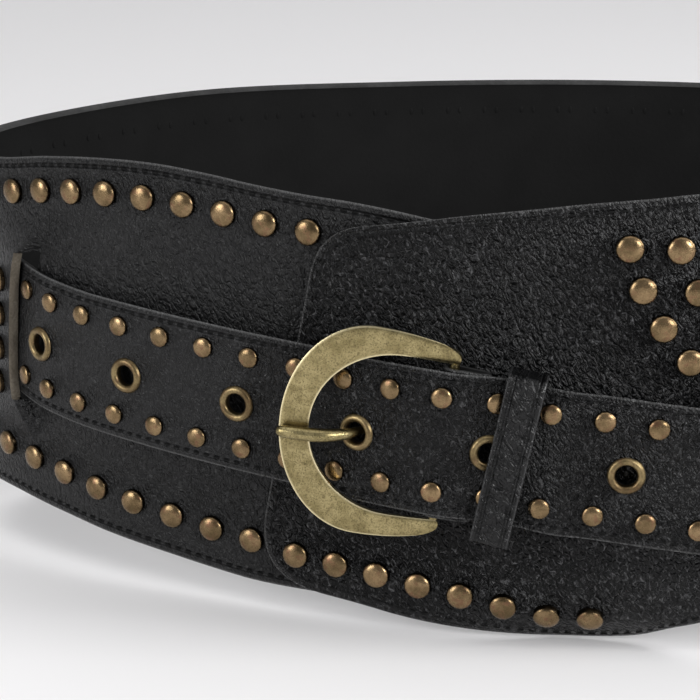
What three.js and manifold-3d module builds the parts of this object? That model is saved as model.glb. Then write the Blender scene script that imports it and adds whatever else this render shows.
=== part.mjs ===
// A wide studded waist belt, fastened and standing on its lower edge.
// Millimetres, +Z up, the buckle at the front (-Y). The leather is worked out flat, as it is cut:
// "along" runs round the loop from the front centre, to the wearer's left (+X) first,
// "up" is the height over the floor and "out" the distance outside the loop's own curve.
// bend() then carries flat places to the standing loop.
import * as THREE from 'three';
import { TessellateModifier } from 'three/addons/modifiers/TessellateModifier.js';
import { mergeVertices } from 'three/addons/utils/BufferGeometryUtils.js';
import Module from 'manifold-3d';

const wasm = await Module();
wasm.setup();

// Driving sizes
const loopWidth = 346;
const loopDepth = 170;
const sideSwell = 6;
const swellFrom = 2.5;
const swellFull = 3.15;
const swellHeld = 3.2;
const swellTo = 3.75;
const bandHeight = 114;
const bandWall = 2.6;
const gap = 0.3;
const strapWidth = 37;
const strapWall = 2.4;

// The wide band's shaped end in front, and how its lower edge rolls under there
const endFoot = -97;
const endLean = 10.67;
const lowerCorner = 19;
const upperCorner = 12;
const rollHeight = 13;
const rollRamp = 7;
const rollAngle = 41;
const rollFrom = -62;
const rollFull = 11;
const rollTo = 62;
const tuckFrom = -150;
const tuckTo = -105;
const hiddenEnd = -31;

// The strap's line, its slot in the band and its two ends
const holePlace = -67.2;
const holeHeight = 55;
const strapFall = 0.09;
const strapBow = 0.00016;
const barRaise = 1.3;
const barRiseFrom = 26;
const barRiseFull = 4;
const barFallFrom = 10;
const barFallTo = 32;
const slotRaise = 1.6;
const slotRaiseRun = 30;
const climbRun = 31.5;
const restRun = 3;
const descentRun = 18;
const settleStart = 10;
const settleRun = 12;
const slotPlace = -174.6;
const slotWidth = 14;
const slotLength = 42;
const slotShift = 1;
const slotLean = 7;
const slotRound = 3;
const innerEnd = -216;
const tipPlace = 86;
const tipRound = 15;

// Studs and eyelets
const studRadius = 3.45;
const studRise = 1.8;
const leftPitch = 11.7;
const rightPitch = 10.8;
const topRowStart = -82.6;
const topRowSqueeze = 0.0003;
const footRowStart = -98.7;
const endRowStart = -84.9;
const endRowCount = 8;
const driftRun = 94;
const topInset = 9;
const leftFootInset = 11.3;
const leftFootDrift = 0.00024;
const rightFootInset = 9.1;
const rightFootDrift = 0.024;
const sideRowCount = 4;
const sideRowTop = 12.6;
const sideRowPitch = 9.9;
const sideRowInset = 6.2;
const smallStudRadius = 2.7;
const smallStudRise = 1.5;
const smallPitch = 13;
const smallRowStart = -5;
const smallRowOffset = 12.1;
const rowStretch = 0.9755;
const rowSqueeze = 0.0028;
const squeezeFrom = -70;
const eyeletPitch = 33.4;
const eyeletDrop = 0.7;
const eyeletRadius = 4.5;
const eyeletBore = 2.5;
const eyeletBarrel = 3;
const eyeletRim = 0.6;
const swagPlace = 54.6;
const swagRadius = 60;
const swagStep = 11.4;
const swagPitch = 10.8;
const swagAbove = 4;
const swagTopShare = 0.905;

// Buckle, leather tab round its bar, and keeper loop
const barPlace = -46;
const barHeight = 53.5;
const barRadius = 1.2;
const frameLength = 40.6;
const frameHalfHeight = 26.8;
const frameSide = 7.4;
const frameArm = 6.2;
const frameWall = 2.4;
const frameLean = 7;
const frameRise = 0.165;
const frameArch = 0.9;
const tongueRadius = 1.45;
const tongueThin = 1;
const tongueReach = 38.5;
const tongueDrop = -0.8;
const tabWall = 1;
const tabReach = 9;
const keeperPlace = -29.8;
const keeperHeight = 51.1;
const keeperWidth = 9.2;
const keeperTall = 44.3;
const keeperWall = 1.2;
const keeperLean = 11;

const radians = THREE.MathUtils.degToRad;

function ease(from, to, value) {
  return THREE.MathUtils.smoothstep(value, from, to);
}

// The loop seen from above: an oval, squarer at its sides, flatter in front and drawn out
// a little at the side where the strap comes out
class LoopPlan extends THREE.Curve {
  getPoint(share, target = new THREE.Vector3()) {
    const turn = (share - 0.25) * 2 * Math.PI;
    const halfWidth = loopWidth / 2;
    const halfDepth = loopDepth / 2;
    const swell = sideSwell * ease(swellFrom, swellFull, turn) * (1 - ease(swellHeld, swellTo, turn));
    return target.set(
      halfWidth * (Math.cos(turn) + 0.017 * Math.cos(3 * turn)) - swell,
      halfDepth * (Math.sin(turn) - 0.045 * Math.cos(2 * turn) - 0.0265 * Math.sin(3 * turn)),
      0,
    );
  }
}
const loop = new LoopPlan();
loop.arcLengthDivisions = 900;
const loopLength = loop.getLength();

const leather = new THREE.MeshStandardMaterial({ color: 0x1c1c1e, roughness: 0.5, metalness: 0 });
const brass = new THREE.MeshStandardMaterial({ color: 0x8c7547, roughness: 0.4, metalness: 0.9 });

// Small helpers for curves and tables

// A table's column at a place, on a smooth curve through its rows
function readTable(rows, column, place) {
  let k = 1;
  while (k < rows.length - 2 && place > rows[k + 1].place) k += 1;
  const [before, start, end, after] = [rows[k - 1], rows[k], rows[k + 1], rows[k + 2] ?? rows[k + 1]];
  const span = end.place - start.place;
  const t = (place - start.place) / span;
  const startSlope = ((end[column] - before[column]) / (end.place - before.place)) * span;
  const endSlope = ((after[column] - start[column]) / (after.place - start.place)) * span;
  const lift = t * t * (3 - 2 * t);
  return start[column] + lift * (end[column] - start[column])
    + t * (1 - t) * (1 - t) * startSlope - t * t * (1 - t) * endSlope;
}

// The band's lower and upper edge. Places are shares of the loop's length, counted from the front
// centre; below 0 is the shaped end in front, towards 1 the other end, hidden behind it.
// Heights are shares of the band's height.
const edgeRows = [
  { place: -0.13, bottom: 0.092, top: 0.89 },
  { place: -0.112, bottom: 0.085, top: 0.9 },
  { place: -0.084, bottom: 0.063, top: 0.917 },
  { place: -0.066, bottom: 0.041, top: 0.937 },
  { place: -0.05, bottom: 0.023, top: 0.958 },
  { place: -0.03, bottom: 0.004, top: 0.98 },
  { place: -0.016, bottom: 0, top: 0.995 },
  { place: 0.003, bottom: 0.014, top: 1.011 },
  { place: 0.0145, bottom: 0.05, top: 1.022 },
  { place: 0.035, bottom: 0.1, top: 1.03 },
  { place: 0.08, bottom: 0.117, top: 1.026 },
  { place: 0.17, bottom: 0.13, top: 1 },
  { place: 0.25, bottom: 0.125, top: 0.97 },
  { place: 0.34, bottom: 0.04, top: 0.995 },
  { place: 0.42, bottom: 0, top: 1 },
  { place: 0.5, bottom: 0, top: 1 },
  { place: 0.58, bottom: 0, top: 1 },
  { place: 0.66, bottom: 0.04, top: 1.004 },
  { place: 0.75, bottom: 0.137, top: 0.968 },
  { place: 0.783, bottom: 0.15, top: 0.962 },
  { place: 0.81, bottom: 0.134, top: 0.99 },
  { place: 0.832, bottom: 0.1145, top: 1.006 },
  { place: 0.851, bottom: 0.0955, top: 1.008 },
  { place: 0.869, bottom: 0.0763, top: 0.997 },
  { place: 0.884, bottom: 0.065, top: 0.984 },
  { place: 0.901, bottom: 0.062, top: 0.972 },
  { place: 0.916, bottom: 0.062, top: 0.964 },
  { place: 0.931, bottom: 0.065, top: 0.95 },
  { place: 0.963, bottom: 0.06, top: 0.91 },
];

function rollAt(along) {
  const near = along > loopLength / 2 ? along - loopLength : along;
  return radians(rollAngle) * ease(rollFrom, -rollFull, near) * (1 - ease(rollFull, rollTo, near));
}

// Height in the flat leather of an edge that stands at a real height
function flatHeight(along, height) {
  const angle = Math.max(rollAt(along), 1e-6);
  const rampFall = (Math.sin(angle) * rollRamp) / angle;
  const fall = rollHeight - height;
  if (fall <= 0) return height;
  if (fall <= rampFall) return rollHeight - (Math.asin((fall * angle) / rollRamp) * rollRamp) / angle;
  return rollHeight - rollRamp - (fall - rampFall) / Math.cos(angle);
}

function bandEdges(along) {
  const place = along / loopLength;
  return {
    bottom: flatHeight(along, bandHeight * Math.max(readTable(edgeRows, 'bottom', place), 0)),
    top: bandHeight * readTable(edgeRows, 'top', place),
  };
}

// Flat place to standing loop
function bend(along, out, up) {
  const share = along / loopLength - Math.floor(along / loopLength);
  const at = loop.getPointAt(share);
  const way = loop.getTangentAt(share);
  const angle = Math.max(rollAt(along - Math.floor(along / loopLength) * loopLength), 1e-6);
  const below = Math.max(rollHeight - up, 0);
  const ramped = Math.min(below, rollRamp);
  const tilt = (angle * ramped) / rollRamp;
  const inward = ((1 - Math.cos(tilt)) * rollRamp) / angle + (below - ramped) * Math.sin(angle);
  const fall = (Math.sin(tilt) * rollRamp) / angle + (below - ramped) * Math.cos(angle);
  const reach = out * Math.cos(tilt) - inward;
  const height = Math.max(up, rollHeight) - fall - out * Math.sin(tilt);
  return new THREE.Vector3(at.x + way.y * reach, at.y - way.x * reach, height);
}

// The hidden end lies one layer further in than the shaped end in front of it
function bandPoint(along, out, up) {
  const tuck = (bandWall + gap) * ease(tuckFrom, tuckTo, along - loopLength);
  return bend(along, out - tuck, up);
}

// Strap line: its middle height, and how far its inner face stands off the loop's curve.
// It runs a little higher where it climbs over the bar and where it comes out of the slot.
function strapHeight(along) {
  const past = along - holePlace;
  const fromBar = along - barPlace;
  const overBarShare = ease(-barRiseFrom, -barRiseFull, fromBar) * (1 - ease(barFallFrom, barFallTo, fromBar));
  const slotShare = 1 - ease(slotPlace, slotPlace + slotRaiseRun, along);
  return holeHeight - strapFall * past - strapBow * past * past + barRaise * overBarShare + slotRaise * slotShare;
}

const strapTilt = Math.atan(strapFall);
const overBar = gap + tabWall + gap + 2 * barRadius + gap + tabWall + gap;
const barOut = gap + tabWall + gap + barRadius;
const behindBand = -(bandWall + 2 * gap + strapWall);

function strapLift(along, across) {
  const leaned = along - across * (Math.tan(radians(slotLean)) - Math.tan(strapTilt));
  const slot = ease(slotPlace + 1, slotPlace + slotWidth - 1.5, leaned);
  const climb = ease(barPlace - restRun - climbRun, barPlace - restRun, along);
  const descent = ease(barPlace, barPlace + descentRun, along);
  const settle = ease(keeperPlace + settleStart, keeperPlace + settleStart + settleRun, along);
  const onKeeper = 2 * gap + keeperWall;
  return behindBand + (gap - behindBand) * slot + (overBar - gap) * climb
    + (onKeeper - overBar) * descent + (gap - onKeeper) * settle;
}

// A place on the strap: along its middle line, across it, and out from its inner face
function strapPoint(along, out, across) {
  return bend(
    along + across * Math.sin(strapTilt),
    strapLift(along, across) + out,
    strapHeight(along) + across * Math.cos(strapTilt),
  );
}

// Place of a length along the strap, counted from the hole that the tongue goes through.
// The strap lies outside the loop's curve, so its lengths cover a little less of it.
function strapAlong(length) {
  const beyond = Math.max(squeezeFrom - length, 0);
  return holePlace + rowStretch * length + rowSqueeze * beyond * beyond;
}

// Solids

function closedMesh(points, faces) {
  const shape = new THREE.BufferGeometry();
  shape.setAttribute('position', new THREE.Float32BufferAttribute(points.flatMap((p) => p.toArray()), 3));
  shape.setIndex(faces.flat());
  return shape;
}

function toSolid(shape) {
  const bare = shape.clone();
  bare.deleteAttribute('normal');
  bare.deleteAttribute('uv');
  const merged = mergeVertices(bare, 1e-4);
  return new wasm.Manifold(new wasm.Mesh({
    numProp: 3,
    vertProperties: new Float32Array(merged.attributes.position.array),
    triVerts: new Uint32Array(merged.index.array),
  }));
}

function toMesh(name, solid, material) {
  const result = solid.getMesh();
  const shape = new THREE.BufferGeometry();
  shape.setAttribute('position', new THREE.BufferAttribute(result.vertProperties, 3));
  shape.setIndex(new THREE.BufferAttribute(result.triVerts, 1));
  shape.computeVertexNormals();
  const mesh = new THREE.Mesh(shape, material);
  mesh.name = name;
  return mesh;
}

// Skin over sections that are rings of equal count, closed at both ends
function loft(rings) {
  const sides = rings[0].length;
  const faces = [];
  for (let r = 0; r < rings.length - 1; r += 1) {
    for (let k = 0; k < sides; k += 1) {
      const a = r * sides + k;
      const b = r * sides + ((k + 1) % sides);
      faces.push([a, b + sides, b], [a, a + sides, b + sides]);
    }
  }
  const last = (rings.length - 1) * sides;
  for (let k = 0; k < sides / 2 - 1; k += 1) {
    const [a, b, c, d] = [k, k + 1, sides - 2 - k, sides - 1 - k];
    faces.push([a, b, c], [a, c, d], [last + a, last + c, last + b], [last + a, last + d, last + c]);
  }
  return closedMesh(rings.flat(), faces);
}

// A flat outline in (along, up), given thickness and carried to the loop by a placing function
function bentPrism(outline, inner, outer, place) {
  const block = new THREE.ExtrudeGeometry(outline, {
    depth: outer - inner, bevelEnabled: false, curveSegments: 6,
  });
  const shape = new TessellateModifier(7, 12).modify(block);
  const spots = shape.attributes.position;
  for (let k = 0; k < spots.count; k += 1) {
    const spot = place(spots.getX(k), inner + spots.getZ(k), spots.getY(k));
    spots.setXYZ(k, spot.x, spot.y, spot.z);
  }
  return shape;
}

// A mirrored shape has its faces turned round again
function flipFaces(shape) {
  const spots = shape.attributes.position;
  const flipped = [];
  for (let k = 0; k < spots.count; k += 3) {
    for (const corner of [k, k + 2, k + 1]) {
      flipped.push(spots.getX(corner), spots.getY(corner), spots.getZ(corner));
    }
  }
  const result = new THREE.BufferGeometry();
  result.setAttribute('position', new THREE.Float32BufferAttribute(flipped, 3));
  return result;
}

// A turned piece, stood on a surface so that its axis follows the surface's normal
function standOn(surface, along, up, shape) {
  const step = 0.4;
  const here = surface(along, up);
  const across = surface(along + step, up).sub(surface(along - step, up)).normalize();
  const rise = surface(along, up + step).sub(surface(along, up - step));
  const outward = new THREE.Vector3().crossVectors(across, rise).normalize();
  const third = new THREE.Vector3().crossVectors(across, outward);
  const turn = new THREE.Matrix4().makeBasis(across, outward, third).setPosition(here);
  return shape.clone().applyMatrix4(turn);
}

function turned(profile, sides) {
  return new THREE.LatheGeometry(profile.map(([r, h]) => new THREE.Vector2(r, h)), sides);
}

// A low domed head whose skirt goes a little way into the leather
function studHead(radius, rise, sides) {
  const sunk = 0.6;
  const shoulder = [radius * 0.68, rise * 0.85];
  const skirt = radius + ((radius - shoulder[0]) * sunk) / shoulder[1];
  return turned([[0, -sunk], [skirt, -sunk], shoulder, [0, rise]], sides);
}

// Wide band

// A place between two others, by an even share of the loop's sweep rather than of its length,
// so that the tighter bends get more sections
function spreadByTurn(start, end, share) {
  const samples = 400;
  let sum = 0;
  const sums = [];
  for (let k = 0; k <= samples; k += 1) {
    const along = start + ((end - start) * k) / samples;
    const at = along / loopLength - Math.floor(along / loopLength);
    const near = along / loopLength - 0.004 - Math.floor(along / loopLength - 0.004);
    const sweep = loop.getTangentAt(at).angleTo(loop.getTangentAt(near));
    sum += sweep + 0.012;
    sums.push(sum);
  }
  const wanted = sums[0] + (sum - sums[0]) * share;
  const k = Math.max(sums.findIndex((value) => value >= wanted - 1e-9), 1);
  const part = (wanted - sums[k - 1]) / (sums[k] - sums[k - 1]);
  return start + ((end - start) * (k - 1 + part)) / samples;
}

function bandBlank() {
  const start = endFoot - 1;
  const end = loopLength + hiddenEnd;
  const count = 66;
  const rings = [];
  for (let k = 0; k <= count; k += 1) {
    const along = spreadByTurn(start, end, k / count);
    const edge = bandEdges(along);
    const ups = [edge.bottom, edge.bottom + 8, edge.bottom + 15, edge.top];
    const outer = ups.map((up) => bandPoint(along, 0, up));
    const inner = ups.map((up) => bandPoint(along, -bandWall, up));
    rings.push([...outer, ...inner.reverse()]);
  }
  return toSolid(loft(rings));
}

// What is cut off round the shaped end: its leaning edge and two rounded corners
function endWaste() {
  const lean = Math.tan(radians(endLean));
  const foot = bandEdges(endFoot).bottom;
  const head = bandEdges(endFoot + lean * bandHeight).top;
  const headAlong = endFoot + lean * (head - foot);
  const footRun = endFoot + lowerCorner;
  const headRun = headAlong + upperCorner;
  const beyond = 20;
  const outline = new THREE.Shape();
  outline.moveTo(footRun, bandEdges(footRun).bottom - beyond);
  outline.lineTo(footRun, bandEdges(footRun).bottom);
  outline.quadraticCurveTo(endFoot, foot, endFoot + lean * lowerCorner, foot + lowerCorner);
  outline.lineTo(headAlong - lean * upperCorner, head - upperCorner);
  outline.quadraticCurveTo(headAlong, head, headRun, bandEdges(headRun).top);
  outline.lineTo(headRun, head + beyond);
  outline.lineTo(endFoot - beyond, head + beyond);
  outline.lineTo(endFoot - beyond, bandEdges(footRun).bottom - beyond);
  return toSolid(bentPrism(outline, -bandWall - gap / 2, 2, bandPoint));
}

// The slot that the strap comes out of: leaning, with round ends
function slotCut() {
  const middle = strapHeight(slotPlace) + slotShift;
  const lean = Math.tan(radians(slotLean));
  const half = slotLength / 2;
  const round = slotRound;
  const left = (up) => loopLength + slotPlace + lean * (up - middle);
  const outline = new THREE.Shape();
  outline.moveTo(left(middle - half) + round, middle - half);
  outline.quadraticCurveTo(left(middle - half), middle - half, left(middle - half + round), middle - half + round);
  outline.lineTo(left(middle + half - round), middle + half - round);
  outline.quadraticCurveTo(left(middle + half), middle + half, left(middle + half) + round, middle + half);
  outline.lineTo(left(middle + half) + slotWidth, middle + half);
  outline.lineTo(left(middle - half) + slotWidth, middle - half);
  return toSolid(bentPrism(outline, -bandWall - 2, 2, bandPoint));
}

function studPlaces() {
  const places = [];
  const swagEnd = 2 * swagPlace + 8;
  const topRow = (along) => bandEdges(along).top - topInset;
  const footRow = (along, inset) => bandEdges(along).bottom + inset;
  // Upper row, from beside the shaped end back round the loop to the swags
  for (let run = 0; loopLength + topRowStart - run > swagEnd; run += leftPitch) {
    const drift = topRowSqueeze * Math.min(run, driftRun) ** 2;
    const along = loopLength + topRowStart - run + drift;
    places.push([along, topRow(along)]);
  }
  // Lower row, on the hidden end's side and on the shaped end
  for (let run = 0; loopLength + footRowStart - run > swagEnd; run += leftPitch) {
    const along = loopLength + footRowStart - run;
    places.push([along, footRow(along, leftFootInset + leftFootDrift * Math.min(run, driftRun) ** 2)]);
  }
  for (let k = 0; k < endRowCount; k += 1) {
    const along = endRowStart + rightPitch * k;
    places.push([along, footRow(along, rightFootInset + rightFootDrift * rightPitch * k)]);
  }
  // Two swags of studs that hang from the upper edge, as far as the strap leaves them room
  const swagTop = bandHeight + swagAbove;
  for (const radius of [swagRadius, swagRadius - swagStep]) {
    const first = Math.asin((swagTop - bandHeight * swagTopShare) / radius);
    const count = Math.round(((Math.PI - 2 * first) * radius) / swagPitch);
    for (let k = 0; k <= count; k += 1) {
      const angle = first + ((Math.PI - 2 * first) * k) / count;
      const along = swagPlace - radius * Math.cos(angle);
      const up = swagTop - radius * Math.sin(angle);
      const clear = strapHeight(along) + strapWidth / 2 + studRadius + 1;
      if (up > clear) places.push([along, up]);
    }
  }
  // A short row beside the slot
  for (let k = 0; k < sideRowCount; k += 1) {
    const above = sideRowTop - sideRowPitch * k;
    const along = slotPlace - sideRowInset + Math.tan(radians(slotLean)) * above;
    places.push([loopLength + along, strapHeight(slotPlace) + above]);
  }
  return places;
}

function wideBand() {
  const head = studHead(studRadius, studRise, 6);
  const face = (along, up) => bandPoint(along, 0, up);
  const studs = studPlaces().map(([along, up]) => toSolid(standOn(face, along, up, head)));
  const leatherCut = bandBlank().subtract(endWaste()).subtract(slotCut());
  return toMesh('wide_band', wasm.Manifold.union([leatherCut, ...studs]), leather);
}

// Strap

const eyeletCount = 8;
const fastenedEyelet = 4;

function eyeletAlong(number) {
  return strapAlong((number - fastenedEyelet) * eyeletPitch);
}

// The strap's sections stand close together where it crosses the slot and climbs over the bar
const slotStep = 2.1;
const bendStep = 5;
const flatStep = 8.5;

function sectionStep(along) {
  if (along > slotPlace - 4 && along < slotPlace + slotWidth + 1) return slotStep;
  if (along < slotPlace || Math.abs(along - barPlace) < climbRun - 7) return bendStep;
  return flatStep;
}

function strapBlank() {
  const places = [];
  for (let along = innerEnd; along < tipPlace; along += sectionStep(along)) places.push(along);
  places.push(tipPlace);
  const half = strapWidth / 2;
  const rings = [];
  for (const along of places) {
    rings.push([
      strapPoint(along, strapWall, -half), strapPoint(along, strapWall, half),
      strapPoint(along, 0, half), strapPoint(along, 0, -half),
    ]);
  }
  return toSolid(loft(rings));
}

// What is cut off round the free end's tip
function tipWaste() {
  const half = strapWidth / 2;
  const outline = new THREE.Shape();
  outline.moveTo(tipPlace - tipRound * 2, half + 3);
  outline.lineTo(tipPlace - tipRound * 2, half);
  outline.bezierCurveTo(tipPlace - tipRound * 0.6, half, tipPlace, half * 0.6, tipPlace, 0);
  outline.bezierCurveTo(tipPlace, -half * 0.6, tipPlace - tipRound * 0.6, -half, tipPlace - tipRound * 2, -half);
  outline.lineTo(tipPlace - tipRound * 2, -half - 3);
  outline.lineTo(tipPlace + 6, -half - 3);
  outline.lineTo(tipPlace + 6, half + 3);
  return toSolid(bentPrism(outline, -2, strapWall + 2, strapPoint));
}

function strap() {
  const face = (along, across) => strapPoint(along, strapWall, across);
  const head = studHead(smallStudRadius, smallStudRise, 6);
  const drill = turned([[0, -2 * strapWall], [eyeletBarrel + gap, -2 * strapWall],
    [eyeletBarrel + gap, strapWall], [0, strapWall]], 10);
  const studs = [];
  const reach = tipPlace - tipRound - 6;
  for (let k = -8; k < 12; k += 1) {
    const along = strapAlong(smallRowStart + smallPitch * k);
    if (along > reach) continue;
    for (const side of [-1, 1]) {
      studs.push(toSolid(standOn(face, along, side * smallRowOffset, head)));
    }
  }
  const holes = [];
  for (let number = 1; number <= eyeletCount; number += 1) {
    holes.push(toSolid(standOn(face, eyeletAlong(number), -eyeletDrop, drill)));
  }
  const leatherCut = strapBlank().subtract(tipWaste()).subtract(wasm.Manifold.union(holes));
  return toMesh('strap', wasm.Manifold.union([leatherCut, ...studs]), leather);
}

function eyelet(number) {
  const face = (along, across) => strapPoint(along, strapWall, across);
  const profile = [
    [eyeletBore, -strapWall + 0.05], [eyeletBarrel, -strapWall + 0.05], [eyeletBarrel, gap],
    [eyeletRadius, gap], [eyeletRadius * 0.86, gap + eyeletRim], [eyeletBore, gap * 0.5],
    [eyeletBore, -strapWall + 0.05],
  ];
  const ring = standOn(face, eyeletAlong(number), -eyeletDrop, turned(profile, 9));
  return toMesh(`eyelet_${number}`, toSolid(ring), brass);
}

// Buckle: local x runs from the bar towards the strap's tip, y across the strap, z out

function buckleMatrix() {
  const lean = radians(frameLean);
  const bar = bend(barPlace, barOut, barHeight);
  const run = frameLength - frameSide / 2;
  const side = bend(barPlace - run * Math.cos(lean), barOut + run * frameRise, barHeight + run * Math.sin(lean));
  const upper = bend(barPlace + 10 * Math.sin(lean), barOut, barHeight + 10 * Math.cos(lean));
  const xWay = bar.clone().sub(side).normalize();
  const yWay = upper.sub(bar);
  const zWay = new THREE.Vector3().crossVectors(xWay, yWay).normalize();
  return new THREE.Matrix4().makeBasis(xWay, zWay.clone().cross(xWay), zWay).setPosition(bar);
}

function frameOutline() {
  const outerMiddle = -frameLength * 0.48;
  const innerMiddle = -frameLength * 0.29;
  const innerHalf = frameHalfHeight - frameArm;
  const tip = frameHalfHeight * 0.8;
  const outline = new THREE.Shape();
  outline.moveTo(0.8, innerHalf - 0.4);
  outline.quadraticCurveTo(innerMiddle / 2, innerHalf, innerMiddle, innerHalf);
  outline.absellipse(innerMiddle, 0, frameLength - frameSide + innerMiddle, innerHalf,
    Math.PI / 2, Math.PI * 1.5, false, 0);
  outline.quadraticCurveTo(innerMiddle / 2, -innerHalf, 0.8, -innerHalf + 0.4);
  outline.bezierCurveTo(2, -tip, 1, -frameHalfHeight * 0.88, -3, -frameHalfHeight * 0.93);
  outline.quadraticCurveTo(outerMiddle * 0.55, -frameHalfHeight, outerMiddle, -frameHalfHeight);
  outline.absellipse(outerMiddle, 0, frameLength + outerMiddle, frameHalfHeight,
    Math.PI * 1.5, Math.PI / 2, true, 0);
  outline.quadraticCurveTo(outerMiddle * 0.55, frameHalfHeight, -3, frameHalfHeight * 0.93);
  outline.bezierCurveTo(1, frameHalfHeight * 0.88, 2, tip, 0.8, innerHalf - 0.4);
  return outline;
}

function buckleFrame() {
  const bevel = 0.5;
  const plate = new THREE.ExtrudeGeometry(frameOutline(), {
    depth: frameWall - 2 * bevel, bevelThickness: bevel, bevelSize: bevel, bevelOffset: -bevel,
    bevelSegments: 1, curveSegments: 6,
  }).translate(0, 0, -frameWall / 2 + bevel);
  const spots = plate.attributes.position;
  for (let k = 0; k < spots.count; k += 1) {
    const fromMiddle = (2 * spots.getX(k)) / frameLength + 1;
    spots.setZ(k, spots.getZ(k) + frameArch * Math.max(1 - fromMiddle * fromMiddle, 0));
  }
  const barLength = 2 * (frameHalfHeight - frameArm) + 3;
  const bar = new THREE.CylinderGeometry(barRadius, barRadius, barLength, 10);
  const solid = toSolid(plate).add(toSolid(bar));
  const mesh = toMesh('buckle_frame', solid, brass);
  mesh.applyMatrix4(buckleMatrix());
  return mesh;
}

// The tongue: a ring round the bar, a thin shank under the strap, up through the hole, over the frame
function buckleTongue() {
  const pivotHeight = strapHeight(barPlace) + 1;
  const frameOut = barOut + (frameLength - frameSide / 2) * frameRise + frameWall / 2;
  const topOut = frameOut + frameArch / 2 + gap + tongueRadius;
  const end = barPlace - tongueReach;
  const under = gap + tongueThin + 0.1;
  const inHole = strapLift(holePlace, 0) + strapWall / 2;
  const path = [
    { along: barPlace - 1.8, out: barOut - 0.5, radius: tongueThin },
    { along: barPlace - 6, out: under, radius: tongueThin },
    { along: holePlace + 3.4, out: under, radius: tongueThin },
    { along: holePlace + 1.5, out: under + 0.7, radius: tongueThin },
    { along: holePlace + 0.2, out: inHole, radius: tongueThin },
    { along: holePlace - 0.9, out: inHole + 2.4, radius: tongueThin },
    { along: holePlace - 2.6, out: inHole + 4.4, radius: tongueThin * 1.2 },
    { along: holePlace - 6.5, out: topOut - 1.6, radius: tongueRadius },
    { along: barPlace - frameLength + frameSide, out: topOut - 0.2, radius: tongueRadius },
    { along: end + 2, out: topOut + 0.1, radius: tongueRadius },
    { along: end, out: topOut + 0.1, radius: tongueRadius * 0.8 },
  ];
  const holeUp = strapHeight(holePlace) - eyeletDrop;
  const heightAt = (along) => THREE.MathUtils.mapLinear(along, holePlace, end, holeUp, holeUp - tongueDrop);
  const shankHeight = (along) => THREE.MathUtils.mapLinear(along, holePlace, barPlace, holeUp, pivotHeight);
  const centres = path.map(({ along, out }) => bend(
    along, out, along < holePlace ? heightAt(along) : shankHeight(along),
  ));
  const curve = new THREE.CatmullRomCurve3(centres, false, 'centripetal');
  const sections = 20;
  const sides = 8;
  const upward = new THREE.Vector3(0, 0, 1);
  const rings = [];
  for (let k = 0; k <= sections; k += 1) {
    const share = (k / sections) * (path.length - 1);
    const low = Math.min(Math.floor(share), path.length - 2);
    const radius = THREE.MathUtils.lerp(path[low].radius, path[low + 1].radius, share - low);
    const middle = curve.getPoint(k / sections);
    const way = curve.getTangent(k / sections);
    const side = new THREE.Vector3().crossVectors(upward, way).normalize();
    const rise = new THREE.Vector3().crossVectors(way, side);
    const ring = [];
    for (let n = 0; n < sides; n += 1) {
      const angle = (-2 * Math.PI * (n + 0.5)) / sides;
      ring.push(middle.clone()
        .addScaledVector(side, radius * Math.cos(angle))
        .addScaledVector(rise, radius * Math.sin(angle)));
    }
    rings.push(ring);
  }
  const inner = barRadius + gap;
  const outer = inner + 0.9;
  const half = 1.5;
  const eye = turned([[inner, -half], [outer, -half], [outer, half], [inner, half], [inner, -half]], 12);
  eye.translate(0, (pivotHeight - barHeight) / Math.cos(radians(frameLean)), 0);
  eye.applyMatrix4(buckleMatrix());
  return toMesh('buckle_tongue', toSolid(loft(rings)).add(toSolid(eye)), brass);
}

// Tab: leather folded round the bar, both layers lying on the band towards the keeper
function buckleTab() {
  const bore = barRadius + gap;
  const back = bore + tabWall;
  const floor = -barOut + gap;
  const profile = new THREE.Shape();
  const lift = tabReach * frameRise;
  profile.moveTo(tabReach, floor + lift);
  profile.lineTo(0, -back);
  profile.absarc(0, 0, back, -Math.PI / 2, Math.PI / 2, true);
  profile.lineTo(tabReach, floor + lift + 2 * tabWall + gap);
  profile.lineTo(tabReach, floor + lift + tabWall + gap);
  profile.lineTo(0.5, bore);
  profile.absarc(0, 0, bore, Math.PI / 2, -Math.PI / 2, false);
  profile.lineTo(tabReach, floor + lift + tabWall);
  const tall = 2 * (frameHalfHeight - frameArm) - 2.6;
  const sheet = new THREE.ExtrudeGeometry(profile, { depth: tall, bevelEnabled: false, curveSegments: 6 });
  sheet.rotateX(-Math.PI / 2);
  sheet.scale(1, 1, -1);
  const upright = flipFaces(sheet.translate(0, -tall / 2, 0));
  const window = new THREE.BoxGeometry(4 * back, 2 * 1.5 + 2.4, 4 * back);
  window.translate(3 - 2 * back, (strapHeight(barPlace) + 1 - barHeight) / Math.cos(radians(frameLean)), 0);
  const solid = toSolid(upright).subtract(toSolid(window));
  const mesh = toMesh('buckle_tab', solid, leather);
  const flatBuckle = buckleMatrix();
  mesh.applyMatrix4(flatBuckle);
  return mesh;
}

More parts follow.
